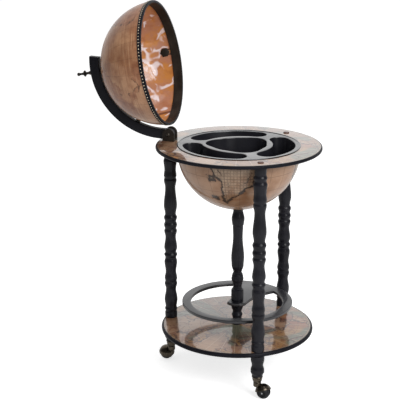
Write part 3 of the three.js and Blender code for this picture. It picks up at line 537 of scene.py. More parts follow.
# %% Distance to the nearest coast
def directions(latitudes, longitudes):
    lat, lon = np.radians(latitudes), np.radians(longitudes)
    return np.stack([np.cos(lat) * np.cos(lon), np.cos(lat) * np.sin(lon), np.sin(lat)], -1)


def shore_distance(points):
    """Signed distance in radians from unit vectors to the coasts, above zero on land."""
    lat = np.degrees(np.arcsin(np.clip(points[:, 2], -1, 1)))
    lon = np.degrees(np.arctan2(points[:, 1], points[:, 0]))
    nearest = np.full(len(points), 10.0)
    land = np.zeros(len(points), bool)
    for outline in coasts.values():
        corners = np.array(outline, float)
        follow = np.roll(corners, -1, 0)
        starts, ends = directions(*corners.T), directions(*follow.T)
        inside = np.zeros(len(points), bool)
        for (lat_a, lon_a), (lat_b, lon_b), start, end in zip(corners, follow, starts, ends):
            span = end - start
            part = np.clip((points - start) @ span / (span @ span), 0, 1)
            nearest = np.minimum(nearest, np.linalg.norm(points - start - part[:, None] * span, axis=1))
            crosses = (lat_a > lat) != (lat_b > lat)
            inside ^= crosses & (lon < (lon_b - lon_a) * (lat - lat_a) / (lat_b - lat_a + 1e-9) + lon_a)
        land |= inside
    southern = np.radians(south_coast_latitude + south_coast_swing * np.sin(np.radians(lon * 3)) - lat)
    return np.maximum(np.where(land, nearest, -nearest), southern)


# %% Parts of a map print
meridian_turn = -21.7
meridian_count, parallel_count = 24, 12
fine_lines_per_meridian = 5
print_specular = 0.15


class MapFinish(Finish):
    """A finish that follows the globe: it reads what each vertex of the shell keeps."""

    def __init__(self, name, roughness, coat, coat_roughness, coat_ior=1.5):
        super().__init__(name, roughness, print_specular, 0.0, coat, coat_roughness, coat_ior)

    def kept(self, name, output):
        return self.node("ShaderNodeAttribute", attribute_name=name)[output]

    def shell(self, scale, detail=4.0, fineness=0.55, **more):
        return self.noise(self.kept("globe", "Vector"), scale, detail, fineness, **more)

    def patches(self, low, high, *noise, **more):
        return self.ramp(self.shell(*noise, **more), low, high)

    def shore(self, raggedness):
        rough = self.math("SUBTRACT", self.shell(13, 6.0, 0.62), 0.5)
        return self.math("MULTIPLY_ADD", rough, raggedness, self.kept("shore", "Fac"))

    def net(self, finer, half_width):
        """Meridians and parallels, from the sphere's own map of them."""
        around = self.node("ShaderNodeSeparateXYZ", {0: self.node("ShaderNodeUVMap", uv_map="UVMap")[0]})
        meridians = self.lines(around["X"], finer * meridian_count, half_width, 2.2)
        parallels = self.lines(around["Y"], finer * parallel_count, half_width, 2.2)
        return self.math("MAXIMUM", meridians, parallels)

    def orange_peel(self, scale=90):
        self.bump(self.shell(scale, 2.0), 0.04, 0.2 * MM)


# %% Map print on the dome
def dome_finish():
    """Browned lands and seas that hardly differ, streaked along the parallels."""
    made = MapFinish("old map on the dome", 0.5, 0.55, 0.06, 1.45)
    ink, rust, pale = (0.035, 0.018, 0.011), (0.15, 0.048, 0.022), (0.5, 0.31, 0.18)
    distance = made.shore(0.2)
    sea = made.mix(made.patches(0.35, 0.68, 3.2, 5.0, 0.6), (0.44, 0.24, 0.13), (0.31, 0.14, 0.068))
    land = made.mix(made.patches(0.35, 0.65, 8, 5.0), (0.35, 0.165, 0.085), (0.23, 0.09, 0.043))
    broken_coast = made.math("MULTIPLY", made.line(distance, 0.0, 0.007), made.patches(0.44, 0.6, 9, 3.0))
    made.colour(made.layered(
        made.mix(made.ramp(distance, -0.02, 0.02), sea, land),
        (made.patches(0.45, 0.66, 2.3, 3.0), 0.5, rust),
        (made.patches(0.5, 0.68, 1.6, 6.0, 0.68, stretch=(1, 1, 26)), 0.55, rust),
        (made.patches(0.54, 0.72, 1.9, 5.0, 0.66, stretch=(1, 1, 17)), 0.42, pale),
        (broken_coast, 0.7, ink),
        (made.net(1, 0.012), 0.22, ink),
        (made.patches(0.58, 0.7, 62, 4.0, 0.75), 0.45, ink),
    ))
    made.orange_peel()
    return made.material


# %% Map print on the bowl
rusty_patch = (-33.0, -66.0)


def bowl_finish():
    """Pale lands under a fine grid, a heavy coast with a shadow at sea, and a rusty patch in the south."""
    made = MapFinish("old map on the bowl", 0.45, 0.7, 0.07, 1.4)
    ink, rust = (0.03, 0.018, 0.012), (0.22, 0.1, 0.045)
    distance = made.shore(0.14)
    is_land = made.ramp(distance, -0.003, 0.003)
    sea = made.mix(made.patches(0.4, 0.7, 3.2, 5.0, 0.6), (0.37, 0.22, 0.135), (0.28, 0.15, 0.083))
    land = made.mix(made.patches(0.35, 0.65, 8, 5.0), (0.42, 0.3, 0.205), (0.33, 0.225, 0.15))
    is_sea = made.math("SUBTRACT", 1.0, is_land)
    near_sea = made.math("MULTIPLY", made.ramp(distance, -0.06, 0.0), is_sea)
    sea = made.layered(sea, (near_sea, 0.7, (0.14, 0.07, 0.04)))
    ways = {0: made.kept("globe", "Vector"), 1: Vector(directions(*rusty_patch))}
    towards = made.node("ShaderNodeVectorMath", ways, operation="DOT_PRODUCT")["Value"]
    patch = made.math("MULTIPLY", made.ramp(towards, 0.86, 0.98), made.patches(0.3, 0.6, 6, 4.0))
    ranges = made.math("MULTIPLY", made.line(distance, 0.105, 0.006), made.patches(0.42, 0.5, 5, 2.0))
    written = made.math("MULTIPLY", made.net(fine_lines_per_meridian, 0.08), 0.4)
    provinces, marks = made.line(made.shell(7), 0.5, 0.005, 2.4), made.patches(0.62, 0.7, 58, 3.0, 0.7)
    for mask, share in ((provinces, 0.45), (marks, 0.55), (ranges, 0.8)):
        written = made.math("MAXIMUM", written, made.math("MULTIPLY", mask, share))
    made.colour(made.layered(
        made.mix(is_land, sea, land),
        (patch, 0.75, rust),
        (made.net(1, 0.011), 0.4, ink),
        (written, is_land, ink),
        (made.line(distance, 0.0, 0.013), 0.95, ink),
    ))
    made.orange_peel()
    return made.material


dome_print, bowl_print = dome_finish(), bowl_finish()


# %% The painted inside of the dome
def sky_finish():
    """Orange-brown paint with pale wavy wisps, and a dark red line near the hinge."""
    made = MapFinish("painted inside of the dome", 0.45, 0.7, 0.13)
    warm = made.mix(made.patches(0.4, 0.6, 2.6), (0.4, 0.175, 0.1), (0.5, 0.2, 0.045))
    ridge = made.line(made.shell(2.6, 1.5, 0.45, distortion=1.1), 0.5, 0.016, 3.4)
    wisps = made.math("MULTIPLY", ridge, made.patches(0.48, 0.56, 3.1, 2.0))
    clouds = made.math("MULTIPLY", made.patches(0.62, 0.7, 4.4, 3.0, 0.5, distortion=0.6), 0.6)
    from_hinge = made.node("ShaderNodeSeparateXYZ", {0: made.kept("globe", "Vector")})["X"]
    made.colour(made.layered(
        warm,
        (made.patches(0.5, 0.7, 6.0, 5.0), 0.5, (0.32, 0.1, 0.03)),
        (made.math("MAXIMUM", wisps, clouds), 0.8, (0.78, 0.7, 0.72)),
        (made.line(from_hinge, -0.895, 0.01, 1.6), 0.8, (0.1, 0.025, 0.015)),
    ))
    made.orange_peel(70)
    return made.material


sky_print = sky_finish()


# %% Map print on the table and the shelf
spoke_count, ring_step = 16, 34 * MM


def board_finish(name, coat_ior, outer_border, flange_shadow_radius=None):
    """An old map on a flat board, centred on the stand's axis, with a printed border line near its edge and, if
    given, a painted shadow line round the tray's flange.
    """
    made = Finish(name, 0.3, coat=1.0, coat_roughness=0.03, coat_ior=coat_ior)
    ink = (0.05, 0.022, 0.012)
    where = made.node("ShaderNodeTexCoord")["Object"]
    centred = made.node("ShaderNodeMapping", {"Vector": where, "Location": -stand_axis})[0]
    split = made.node("ShaderNodeSeparateXYZ", {0: centred})
    flat = made.node("ShaderNodeCombineXYZ", {"X": split["X"], "Y": split["Y"], "Z": 0.0})[0]
    radius = made.node("ShaderNodeVectorMath", {0: flat}, operation="LENGTH")["Value"]
    angle = made.math("ARCTAN2", split["Y"], split["X"])

    def patches(low, high, scale, detail, fineness=0.55):
        return made.ramp(made.noise(flat, scale, detail, fineness), low, high)

    lands = made.noise(flat, 9, 6.0, 0.58)
    land = made.mix(patches(0.42, 0.56, 5, 3.0), (0.23, 0.07, 0.03), (0.3, 0.15, 0.05))
    sea = made.mix(patches(0.4, 0.6, 6, 4.0), (0.36, 0.21, 0.125), (0.21, 0.1, 0.052))
    layers = [
        (patches(0.53, 0.6, 7, 2.0), 0.85, (0.09, 0.115, 0.085)),
        (made.line(made.noise(flat, 13, 5.0, 0.6), 0.5, 0.009), 0.6, (0.12, 0.025, 0.012)),
        (made.lines(radius, 1 / ring_step, 0.018), 0.4, ink),
        (made.lines(angle, spoke_count / math.pi, 0.02), 0.5, (0.5, 0.38, 0.27)),
        (patches(0.6, 0.7, 70, 3.0, 0.7), 0.4, (0.05, 0.024, 0.012)),
        (made.line(lands, 0.508, 0.009, 2.2), 0.9, (0.05, 0.016, 0.008)),
        (made.line(radius, outer_border, 1.6 * MM, 1.2), 1.0, ink),
        (made.line(radius, outer_border, 0.5 * MM, 1.4), 1.0, (0.4, 0.29, 0.18)),
    ]
    # Painted shade: a near-black ring just outside the tray's flange, standing in for the shadow of the gap under
    # it.
    if flange_shadow_radius:
        layers.append((made.line(radius, flange_shadow_radius, 0.9 * MM, 1.3), 0.95, (0.012, 0.009, 0.007)))
    made.colour(made.layered(made.mix(made.ramp(lands, 0.505, 0.512), sea, land), *layers))
    return made.material


table_radius = (table_high.x - table_low.x) / 2
shelf_radius = (shelf_high.x - shelf_low.x) / 2
table_margin, shelf_margin = 7 * MM, 9 * MM
flange_radius = (tray_high.y - tray_low.y) / 2
# The table's dark ring half a millimetre outside the flange is painted shadow, not a printed border.
flange_shadow_line = flange_radius + 0.5 * MM
table_print_and_shadow = board_finish("old map on the table with a painted flange shadow", 1.8, table_radius - table_margin, flange_shadow_line)
shelf_print = board_finish("old map on the shelf", 1.6, shelf_radius - shelf_margin)
print("map prints are ready")

# %% [markdown]
# ## Table and shelf
#
# Both are discs cut from board, with the print on top and black paint round the edge. The profile has a
# rounded edge, and the faces that look straight up take the print.

# %% Discs
table_hole_radius = 158 * MM
table_edge, shelf_edge = 4 * MM, 6 * MM
disc_sides, looks_up = 160, 0.999


def disc(name, hole, radius, low, high, rounding):
    edge = radius - rounding
    outside = arc(edge, low + rounding, rounding, -90, 0, 6) + arc(edge, high - rounding, rounding, 0, 90, 6)
    outline = [(hole, low), *outside, (hole, high)]
    if hole > 0:
        outline.append((hole, low))
    return smooth(spun(name, outline, stand_axis, disc_sides), 40)


def paint_top(piece, print_finish):
    paint(piece, edge_lacquer, print_finish)
    for polygon in piece.data.polygons:
        polygon.material_index = 1 if polygon.normal.z > looks_up else 0
    return piece


table = disc("table_top", table_hole_radius, table_radius, table_low.z, table_high.z, table_edge)
stand_for(paint_top(table, table_print_and_shadow), "stand", "printed_board", "table_ring")
shelf = disc("shelf_disc", 0, shelf_radius, shelf_low.z, shelf_high.z, shelf_edge)
stand_for(paint_top(shelf, shelf_print), "stand", "printed_board", "bottom_shelf")

# %% [markdown]
# ## Legs, feet and posts
#
# All of them are turned from one stick of hardwood on a lathe. The long legs carry a run of beads, coves
# and swelling vases. Each profile is written as shares of the height and of the largest radius, drawn
# once and spun.

# %% Turned outlines
leg_shares = [
    (0, 0.91), (0.006, 0.94), (0.028, 0.95), (0.037, 0.86), (0.051, 0.97), (0.061, 0.86), (0.104, 1),
    (0.168, 0.78), (0.2, 0.97), (0.215, 0.88), (0.229, 0.97), (0.269, 0.81), (0.328, 0.98), (0.353, 0.84),
    (0.371, 1), (0.384, 0.84), (0.411, 0.99), (0.473, 0.8), (0.509, 0.98), (0.52, 0.86), (0.542, 1),
    (0.562, 0.86), (0.585, 1), (0.604, 0.82), (0.652, 1), (0.755, 0.78), (0.798, 0.96), (0.81, 0.88),
    (0.822, 0.96), (0.857, 0.87), (0.905, 1), (0.926, 0.86), (0.941, 0.98), (0.955, 0.84), (1, 0.88),
]
foot_shares = [(0, 0.78), (0.05, 0.8), (0.2, 1), (0.3, 0.99), (0.52, 0.83), (0.8, 1), (0.94, 0.98), (1, 0.95)]
upper_post_shares = [
    (0, 0.93), (0.012, 0.955), (0.107, 0.955), (0.12, 0.91), (0.125, 0.73), (0.151, 0.66), (0.184, 0.75),
    (0.235, 0.946), (0.262, 0.885), (0.292, 0.78), (0.298, 0.64), (0.385, 0.94), (0.46, 1), (0.686, 0.746),
    (0.81, 0.8), (0.818, 0.89), (0.878, 0.99), (0.975, 0.74), (1, 0.73),
]
lower_post_shares = [
    (0, 0.82), (0.12, 0.82), (0.26, 0.71), (0.36, 0.78), (0.455, 0.88), (0.53, 0.77), (0.6, 0.69),
    (0.8, 0.93), (0.88, 1), (1, 1),
]
turned_step, turned_sides = 1.6 * MM, 48


# %% Turn them
def turned_node(node, shares, axis):
    low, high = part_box(node)
    radius = (high.y - low.y) / 2 if axis is stand_axis else max(high.x - axis.x, axis.x - low.x)
    length = high.z - low.z
    outline = [(0, 0), *turning(shares, length, radius, turned_step), (0, length)]
    piece = smooth(spun(node + "_turned", outline, Vector((axis.x, axis.y, low.z)), turned_sides), 50)
    return stand_for(paint(piece, turned_lacquer), "stand", "satin_black_wood", node)


for number, spot in enumerate(leg_places, 1):
    turned_node(f"leg_{number}", leg_shares, spot)
    turned_node(f"foot_{number}", foot_shares, spot)
turned_node("upper_post", upper_post_shares, stand_axis)
turned_node("lower_post", lower_post_shares, stand_axis)

# %% [markdown]
# ## Bottle ring
#
# The bottle ring is sawn from one board: a round band, with one broad tongue that reaches to the middle
# and ends round the posts. Its edges are rounded over.

# %% Ring outline
ring_low, ring_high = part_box("bottle_ring")
ring_outer = (ring_high.y - ring_low.y) / 2
ring_opening, ring_shift, ring_edge = 127.5 * MM, 4 * MM, 1.6 * MM
tongue_end = 31.5 * MM
tongue_narrow, tongue_wide = 20 * MM, 29 * MM
tongue_narrow_spread, tongue_wide_spread = 50 * MM, 70 * MM
tongue_bend_share = 0.5
tongue_angle = math.radians(82)


def quadratic(start, bend, stop, steps=24):
    """Points between the ends of a curve that bends towards one point."""
    start, bend, stop = np.array([start, bend, stop])
    parts = [step / steps for step in range(1, steps)]
    return [(1 - t) ** 2 * start + 2 * t * (1 - t) * bend + t**2 * stop for t in parts]


def tongue_opening():
    """Round the opening, in along the tongue's wide side, round its end, and out along the narrow side."""
    wide_root = math.asin(tongue_wide_spread / ring_opening)
    narrow_root = math.asin(tongue_narrow_spread / ring_opening)
    wide_end, narrow_end = math.asin(tongue_wide / tongue_end), math.asin(tongue_narrow / tongue_end)
    wide_root_x = ring_opening * math.cos(wide_root) - ring_shift
    narrow_root_x = ring_opening * math.cos(narrow_root) - ring_shift
    wide_end_x, narrow_end_x = -tongue_end * math.cos(wide_end), -tongue_end * math.cos(narrow_end)
    bend_x = tongue_bend_share * narrow_root_x
    degrees = math.degrees
    return [
        *arc(-ring_shift, 0, ring_opening, degrees(narrow_root), 360 - degrees(wide_root), 110),
        *quadratic((wide_root_x, -tongue_wide_spread), (bend_x, -tongue_wide), (wide_end_x, -tongue_wide)),
        *arc(0, 0, tongue_end, 180 + degrees(wide_end), 180 - degrees(narrow_end), 24),
        *quadratic(
            (narrow_end_x, tongue_narrow), (bend_x, tongue_narrow), (narrow_root_x, tongue_narrow_spread)
        ),
    ]


# %% Ring board
ring_middle = Vector((stand_axis.x, 0, (ring_low.z + ring_high.z) / 2))
ring_place = Matrix.Translation(ring_middle) @ Matrix.Rotation(tongue_angle, 4, "Z")
ring_outlines = [arc(0, 0, ring_outer, 0, 360, 144)[:-1], tongue_opening()]
ring_board = board("ring_board", ring_outlines, ring_high.z - ring_low.z, ring_edge, ring_place)
stand_for(paint(ring_board, ring_lacquer), "stand", "satin_black_wood", "bottle_ring")

# %% [markdown]
# ## Globe shells
#
# Each half of the globe is a sphere cut at its mouth and given a wall. The sphere's own map of longitude
# and latitude carries the net of lines. The outside takes the map, the inside of the dome its painting.

# %% Half spheres
globe_radius = 165 * MM
globe_wall = 3 * MM
globe_segments, globe_rings = 288, 144


def half_globe(name, upper, mouth, *materials):
    """A half globe about the origin, cut at its mouth's height. Finishes: outside, inside and rim."""
    clear_selection()
    bpy.ops.mesh.primitive_uv_sphere_add(segments=globe_segments, ring_count=globe_rings, radius=globe_radius)
    piece = bpy.context.object
    piece.name = piece.data.name = name
    edit(piece)
    bpy.ops.mesh.select_all(action="SELECT")
    keep = {"clear_inner": upper, "clear_outer": not upper}
    bpy.ops.mesh.bisect(plane_co=(0, 0, mouth), plane_no=(0, 0, 1), **keep)
    bpy.ops.object.mode_set(mode="OBJECT")
    paint(piece, *materials)
    modify(piece, "SOLIDIFY", thickness=globe_wall, offset=-1, material_offset=1, material_offset_rim=2)
    points = np.zeros(len(piece.data.vertices) * 3)
    piece.data.vertices.foreach_get("co", points)
    points = points.reshape(-1, 3)
    points /= np.linalg.norm(points, axis=1)[:, None]
    on_map = points @ np.array(Matrix.Rotation(math.radians(meridian_turn), 3, "Z"))
    piece.data.attributes.new("globe", "FLOAT_VECTOR", "POINT").data.foreach_set("vector", points.ravel())
    piece.data.attributes.new("shore", "FLOAT", "POINT").data.foreach_set("value", shore_distance(on_map))
    return smooth(piece, 60)


liner_flange = 1.5 * MM
band_low = liner_flange + seat_gap
dome = half_globe("dome", True, band_low, dome_print, sky_print, trim_black)
place(dome, lid_place)
stand_for(dome, "lid", "globe_shell", "dome_shell")
bowl = half_globe("bowl", False, 0, bowl_print, trim_black, trim_black)
bowl_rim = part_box("bowl_shell")[1].z
place(bowl, Matrix.Translation(Vector((stand_axis.x, 0, bowl_rim))))
stand_for(bowl, "stand", "globe_shell", "bowl_shell")

# %% [markdown]
# ## Trim of the dome's mouth
#
# Inside, a black liner stands round the mouth. Outside, a dark band runs along the edge, with a row of
# small light beads. The beads are real: one low stud is modelled and copied round.

# %% Liner
liner_depth, liner_wall, liner_overhang = 25 * MM, 2 * MM, 1.4 * MM
liner_foot_edge, liner_flange_round, liner_top_edge = 0.4 * MM, 0.7 * MM, 0.5 * MM
trim_sides = 192
inner_radius = globe_radius - globe_wall
liner_foot_radius = inner_radius - seat_gap
liner_top_radius = math.sqrt(inner_radius**2 - liner_depth**2) - seat_gap
flange_round_radius = globe_radius + liner_overhang - liner_flange_round
liner_outline = [
    (liner_foot_radius - liner_wall, liner_foot_edge),
    (liner_foot_radius - liner_wall + liner_foot_edge, 0),
    *arc(flange_round_radius, liner_flange / 2, liner_flange_round, -90, 90, 6),
    (liner_foot_radius, liner_flange),
    (liner_top_radius, liner_depth),
    (liner_top_radius - liner_wall + liner_top_edge, liner_depth),
    (liner_top_radius - liner_wall, liner_depth - liner_top_edge),
]
liner = spun("dome_liner_ring", [*liner_outline, liner_outline[0]], sides=trim_sides)
paint(liner, trim_black, edge_lacquer)
for polygon in liner.data.polygons:
    polygon.material_index = 1 if polygon.center.z < liner_flange else 0
smooth(place(liner, lid_place), 40)
stand_for(liner, "lid", "black_trim", "dome_liner")

# %% Band
band_height, band_wall, band_fit = 10 * MM, 1.0 * MM, 0.15 * MM
band_roll, band_roll_height = 0.6 * MM, 1.8 * MM
band_inner = globe_radius + band_fit
band_face = band_inner + band_wall
band_outline = [
    (band_inner, band_low),
    *arc(band_face, band_low + 0.8 * MM, band_roll, -90, 60, 5),
    (band_face, band_low + band_roll_height),
    (band_face, band_height - band_roll_height),
    *arc(band_face - 0.1 * MM, band_height - 0.9 * MM, band_roll, -60, 90, 5),
    (band_inner, band_height),
]
band = spun("dome_band_ring", [*band_outline, band_outline[0]], sides=trim_sides)
smooth(place(band, lid_place), 50)
stand_for(paint(band, edge_lacquer), "lid", "black_trim", "dome_edge_band")

# %% Beads on the band
bead_count = 122
bead_radius = 1.5 * MM
bead_rise_share = 0.55
clear_selection()
bpy.ops.mesh.primitive_uv_sphere_add(segments=8, ring_count=6, radius=bead_radius)
bead = bpy.context.object
bead.scale = (bead_rise_share, 1, 1)
bead.location = (band_face, 0, (band_low + band_height) / 2)
settle(bead)
bead_turns = [2 * math.pi * number / bead_count for number in range(1, bead_count)]
others = [copied(bead, "bead", Matrix.Rotation(turn, 4, "Z")) for turn in bead_turns]
beads = joined("dome_band_beads", bead, *others)
smooth(place(beads, lid_place), 60)
stand_for(paint(beads, gilt), "lid", "black_trim")

# %% [markdown]
# ## Latch plates
#
# Inside the dome, on each side of its mouth, a flat hexagonal plate is screwed to the wall. Two prongs
# reach from it down to the liner. The plate is a six-sided blank with a sunk middle, and it touches the
# round wall at its corners.

# %% Hexagons with prongs
latch_radius, latch_height, latch_shift, latch_thickness = 14 * MM, 41 * MM, 8 * MM, 2 * MM
latch_border, latch_sunk, latch_edge = 2.4 * MM, 0.5 * MM, 0.3 * MM
prong_width, prong_length, prong_thickness, prong_edge = 3 * MM, 8.6 * MM, 1.6 * MM, 0.4 * MM
prong_spread, prong_drop, prong_gap = 7 * MM, 12.4 * MM, seat_gap + 0.1 * MM
latch_lift = math.asin(latch_height / inner_radius)
prong_lift = latch_lift - prong_drop / inner_radius
corner_rise = inner_radius - math.sqrt(inner_radius**2 - latch_radius**2)


def on_inner_wall(side, lift, across):
    """Carries what lies flat under the origin to the dome's inner wall."""
    turn = -latch_shift / inner_radius if side > 0 else math.pi + latch_shift / inner_radius
    outwards = Vector((across, math.sqrt(inner_radius**2 - across**2), 0))
    raised = Matrix.Rotation(turn, 4, "Z") @ Matrix.Rotation(lift, 4, "X") @ Matrix.Translation(outwards)
    return lid_place @ raised @ Matrix.Rotation(-math.pi / 2, 4, "X")


def latch_blank():
    middle = (0, 0, -corner_rise - seat_gap - latch_thickness / 2)
    clear_selection()
    bpy.ops.mesh.primitive_cylinder_add(
        vertices=6, radius=latch_radius, depth=latch_thickness, location=middle
    )
    blank = settle(bpy.context.object)
    for polygon in blank.data.polygons:
        polygon.select = polygon.normal.z < -0.9
    edit(blank)
    bpy.ops.mesh.inset(thickness=latch_border, depth=0)
    bpy.ops.mesh.inset(thickness=latch_sunk, depth=-latch_sunk)
    bpy.ops.object.mode_set(mode="OBJECT")
    modify(blank, "BEVEL", width=latch_edge, segments=2)
    return blank


def block(size, middle, edge):
    """A rectangular block with rounded edges."""
    clear_selection()
    bpy.ops.mesh.primitive_cube_add(size=1, location=middle)
    piece = bpy.context.object
    piece.scale = size
    settle(piece)
    modify(piece, "BEVEL", width=edge, segments=2)
    return piece


prong_size = (prong_width, prong_length, prong_thickness)
prong_middle = (0, 0, -prong_gap - prong_thickness / 2)
for side, node in ((1, "latch_plate_back"), (-1, "latch_plate_front")):
    parts = [place(latch_blank(), on_inner_wall(side, latch_lift, 0))]
    for across in (-prong_spread, prong_spread):
        prong = block(prong_size, prong_middle, prong_edge)
        parts.append(place(prong, on_inner_wall(side, prong_lift, across)))
    latch = smooth(joined(node + "_hexagon", *parts), 30)
    stand_for(paint(latch, trim_black), "lid", "black_trim", node)

# %% [markdown]
# ## Arm, finial and hinge
#
# The arm is bent wood with softly rounded edges. It runs from the hinge round to the pole, where the
# finial's stud holds the dome. The hinge is a black fork with a bolt.

# %% Meridian arm
arm_depth, arm_gap, arm_width, arm_edge = 27 * MM, 13.4 * MM, 19 * MM, 2 * MM
arm_radius = globe_radius + arm_gap + arm_depth / 2
arm_shift = 0.5 * MM
arm_end = 180 - 102.9
pivot_rise = hinge.z - mouth_centre.z
knuckle = 180 - math.degrees(math.asin(pivot_rise / arm_radius))
arm_outline = [
    *arc(-arm_shift, 0, arm_radius + arm_depth / 2, arm_end, knuckle, 72),
    *arc(-leg_circle, pivot_rise, arm_depth / 2, knuckle, knuckle + 180, 24)[1:-1],
    *arc(-arm_shift, 0, arm_radius - arm_depth / 2, knuckle, arm_end, 72),
]
upright = Matrix.Rotation(math.pi / 2, 4, "X")
arm = board("arm_bent", [arm_outline], arm_width, arm_edge, lid_place @ upright, 4)
stand_for(paint(arm, bent_lacquer), "lid", "satin_black_wood", "meridian_arm")

# %% Finial
finial_shares = [
    (0, 0.7), (0.04, 0.72), (0.1, 0.6), (0.24, 0.4), (0.36, 0.46), (0.4, 0.8), (0.43, 1), (0.46, 1),
    (0.5, 0.85), (0.55, 0.42), (0.72, 0.34), (0.78, 0.38), (0.88, 0.56), (0.95, 0.48), (0.99, 0.2), (1, 0.02),
]
finial_length, finial_radius, finial_step = 42 * MM, 8.6 * MM, 0.7 * MM
finial_foot = math.sqrt((arm_radius + arm_depth / 2) ** 2 - arm_shift**2) + seat_gap
stud_radius, stud_end = 3 * MM, 150 * MM
finial_knob = turning(finial_shares, finial_length, finial_radius, finial_step)
finial_outline = [
    (0, stud_end),
    (stud_radius, stud_end),
    (stud_radius, finial_foot),
    *((radius, finial_foot + height) for radius, height in finial_knob),
    (0, finial_foot + finial_length),
]
finial = spun("finial_turned", finial_outline, sides=32)
smooth(place(finial, lid_place), 45)
stand_for(paint(finial, bronze), "lid", "dark_metal", "finial")

# %% Hinge fork
bracket_low, bracket_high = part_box("hinge_bracket")
cheek_thickness, cheek_edge = 7.5 * MM, 1.2 * MM
cheek_radius = (bracket_high.x - bracket_low.x) / 2
cheek_floor = bracket_low.z - hinge.z
cheek_outline = [
    (-cheek_radius, cheek_floor), (cheek_radius, cheek_floor), *arc(0, 0, cheek_radius, 0, 180, 32),
]
cheeks = []
for side, face in ((-1, bracket_low.y + cheek_thickness / 2), (1, bracket_high.y - cheek_thickness / 2)):
    where = Matrix.Translation(Vector((hinge.x, face, hinge.z))) @ upright
    cheeks.append(board(f"cheek_{side}", [cheek_outline], cheek_thickness, cheek_edge, where, 4))
base_height, base_edge = 4 * MM - seat_gap, 0.6 * MM
base_width = bracket_high.y - bracket_low.y - cheek_thickness
base_size = (2 * cheek_radius, base_width, base_height)
base = block(base_size, (hinge.x, 0, bracket_low.z + base_height / 2), base_edge)
fork = smooth(joined("hinge_fork", *cheeks, base), 40)
stand_for(paint(fork, trim_black), "stand", "black_trim", "hinge_bracket")

# %% [markdown]
# ## Insert
#
# The insert is one moulding: a thin flange with a raised bead round its edge, a deep well, and three
# pockets bent round it. The well is round and draws out towards each leg. A pocket has round ends and a
# flatter inner side. Each cavity starts as a flat outline that is inset and sunk step by step, and the
# walls lean inwards so that the moulding leaves its tool.

# %% Outlines of the pockets and the well
well_radius, well_depth, pocket_depth = 0.47 * table_hole_radius, 104 * MM, 72 * MM
well_bulge, well_bulge_degrees, well_band = 16 * MM, 45, 16 * MM
tray_wall, tray_lip, tray_draft = 2 * MM, 1.6 * MM, 0.08
pocket_end_radius, pocket_margin, spoke_width = 27 * MM, 7.5 * MM, 29 * MM
pocket_middle = table_hole_radius - pocket_margin - pocket_end_radius
pocket_spread = math.pi / 3 - math.asin((spoke_width / 2 + pocket_end_radius) / pocket_middle)
end_x, end_y = pocket_middle * math.cos(pocket_spread), pocket_middle * math.sin(pocket_spread)
pocket_near = well_radius + well_band + pocket_end_radius
inner_shift = (pocket_middle**2 - pocket_near**2) / (2 * (pocket_near - end_x))
inner_spread = math.atan2(end_y, end_x + inner_shift)
well_sides = 120


def pocket_ring(inset):
    reach = pocket_end_radius - inset
    wide, flat = math.degrees(pocket_spread), math.degrees(inner_spread)
    return [
        *arc(0, 0, pocket_middle + reach, -wide, wide, 40)[1:-1],
        *arc(end_x, end_y, reach, wide, 180 + flat, 20),
        *arc(-inner_shift, 0, pocket_near + inner_shift - reach, flat, -flat, 40)[1:-1],
        *arc(end_x, -end_y, reach, 180 - flat, 360 - wide, 20),
    ]


def well_ring(inset):
    points = []
    for step in range(well_sides):
        angle = 2 * math.pi * step / well_sides
        from_leg = abs(math.degrees(angle) % 120 - 60)
        part = max(0, 1 - from_leg / well_bulge_degrees)
        radius = well_radius - inset + well_bulge * (1 - math.cos(math.pi * part)) / 2
        points.append((radius * math.cos(angle), radius * math.sin(angle)))
    return points


print("pocket spread", round(math.degrees(pocket_spread), 1), "well", round(well_radius, 4))


# %% Sink a flat outline
def sunk(name, outline, steps):
    """A flat outline, filled and inset downwards. Steps are (inset, height), from the top one."""
    first_inset, first_height = steps[0]
    ring = outline(first_inset)
    piece = drawn(name, [Vector((x, y, first_height)) for x, y in [*ring, ring[0]]])
    bpy.ops.mesh.remove_doubles(threshold=0.01 * MM)
    bpy.ops.mesh.edge_face_add()
    bpy.ops.object.mode_set(mode="OBJECT")
    faces_up = piece.data.polygons[0].normal.z > 0
    edit(piece)
    if not faces_up:
        bpy.ops.mesh.flip_normals()
    for (inset, height), (next_inset, next_height) in zip(steps, steps[1:]):
        bpy.ops.mesh.inset(thickness=next_inset - inset, depth=next_height - height)
    bpy.ops.mesh.select_all(action="DESELECT")
    bpy.ops.mesh.select_non_manifold()
    bpy.ops.mesh.edge_face_add()
    return tidy(piece)


# %% Steps of a body and of its cavity
tray_top = tray_high.z
rim_bead_height = 1.2 * MM
deck = tray_top - rim_bead_height
cavity_rise = 4 * MM
floor_round = 6 * MM
round_steps = 5
quarter = [math.pi / 2 * step / round_steps for step in range(round_steps + 1)]


def rounded_foot(inset, floor):
    """From the leaning wall down to the flat floor."""
    return [
        (inset + floor_round * (1 - math.cos(a)), floor + floor_round * (1 - math.sin(a))) for a in quarter
    ]


def body_steps(depth):
    """The outside of a well or pocket, a wall larger than its cavity."""
    foot = rounded_foot(tray_draft * depth - tray_wall, tray_top - depth - tray_wall)
    return [(-tray_wall, deck - tray_wall / 2), *foot]


def cavity_steps(depth):
    """The inside of a well or pocket, with a rounded lip at the deck and a rounded foot."""
    lip = [(-tray_lip * (1 - math.sin(a)), deck - tray_lip * (1 - math.cos(a))) for a in quarter]
    above = (-tray_lip - 0.3 * MM, deck + cavity_rise)
    return [above, *lip, *rounded_foot(tray_draft * depth, tray_top - depth)]


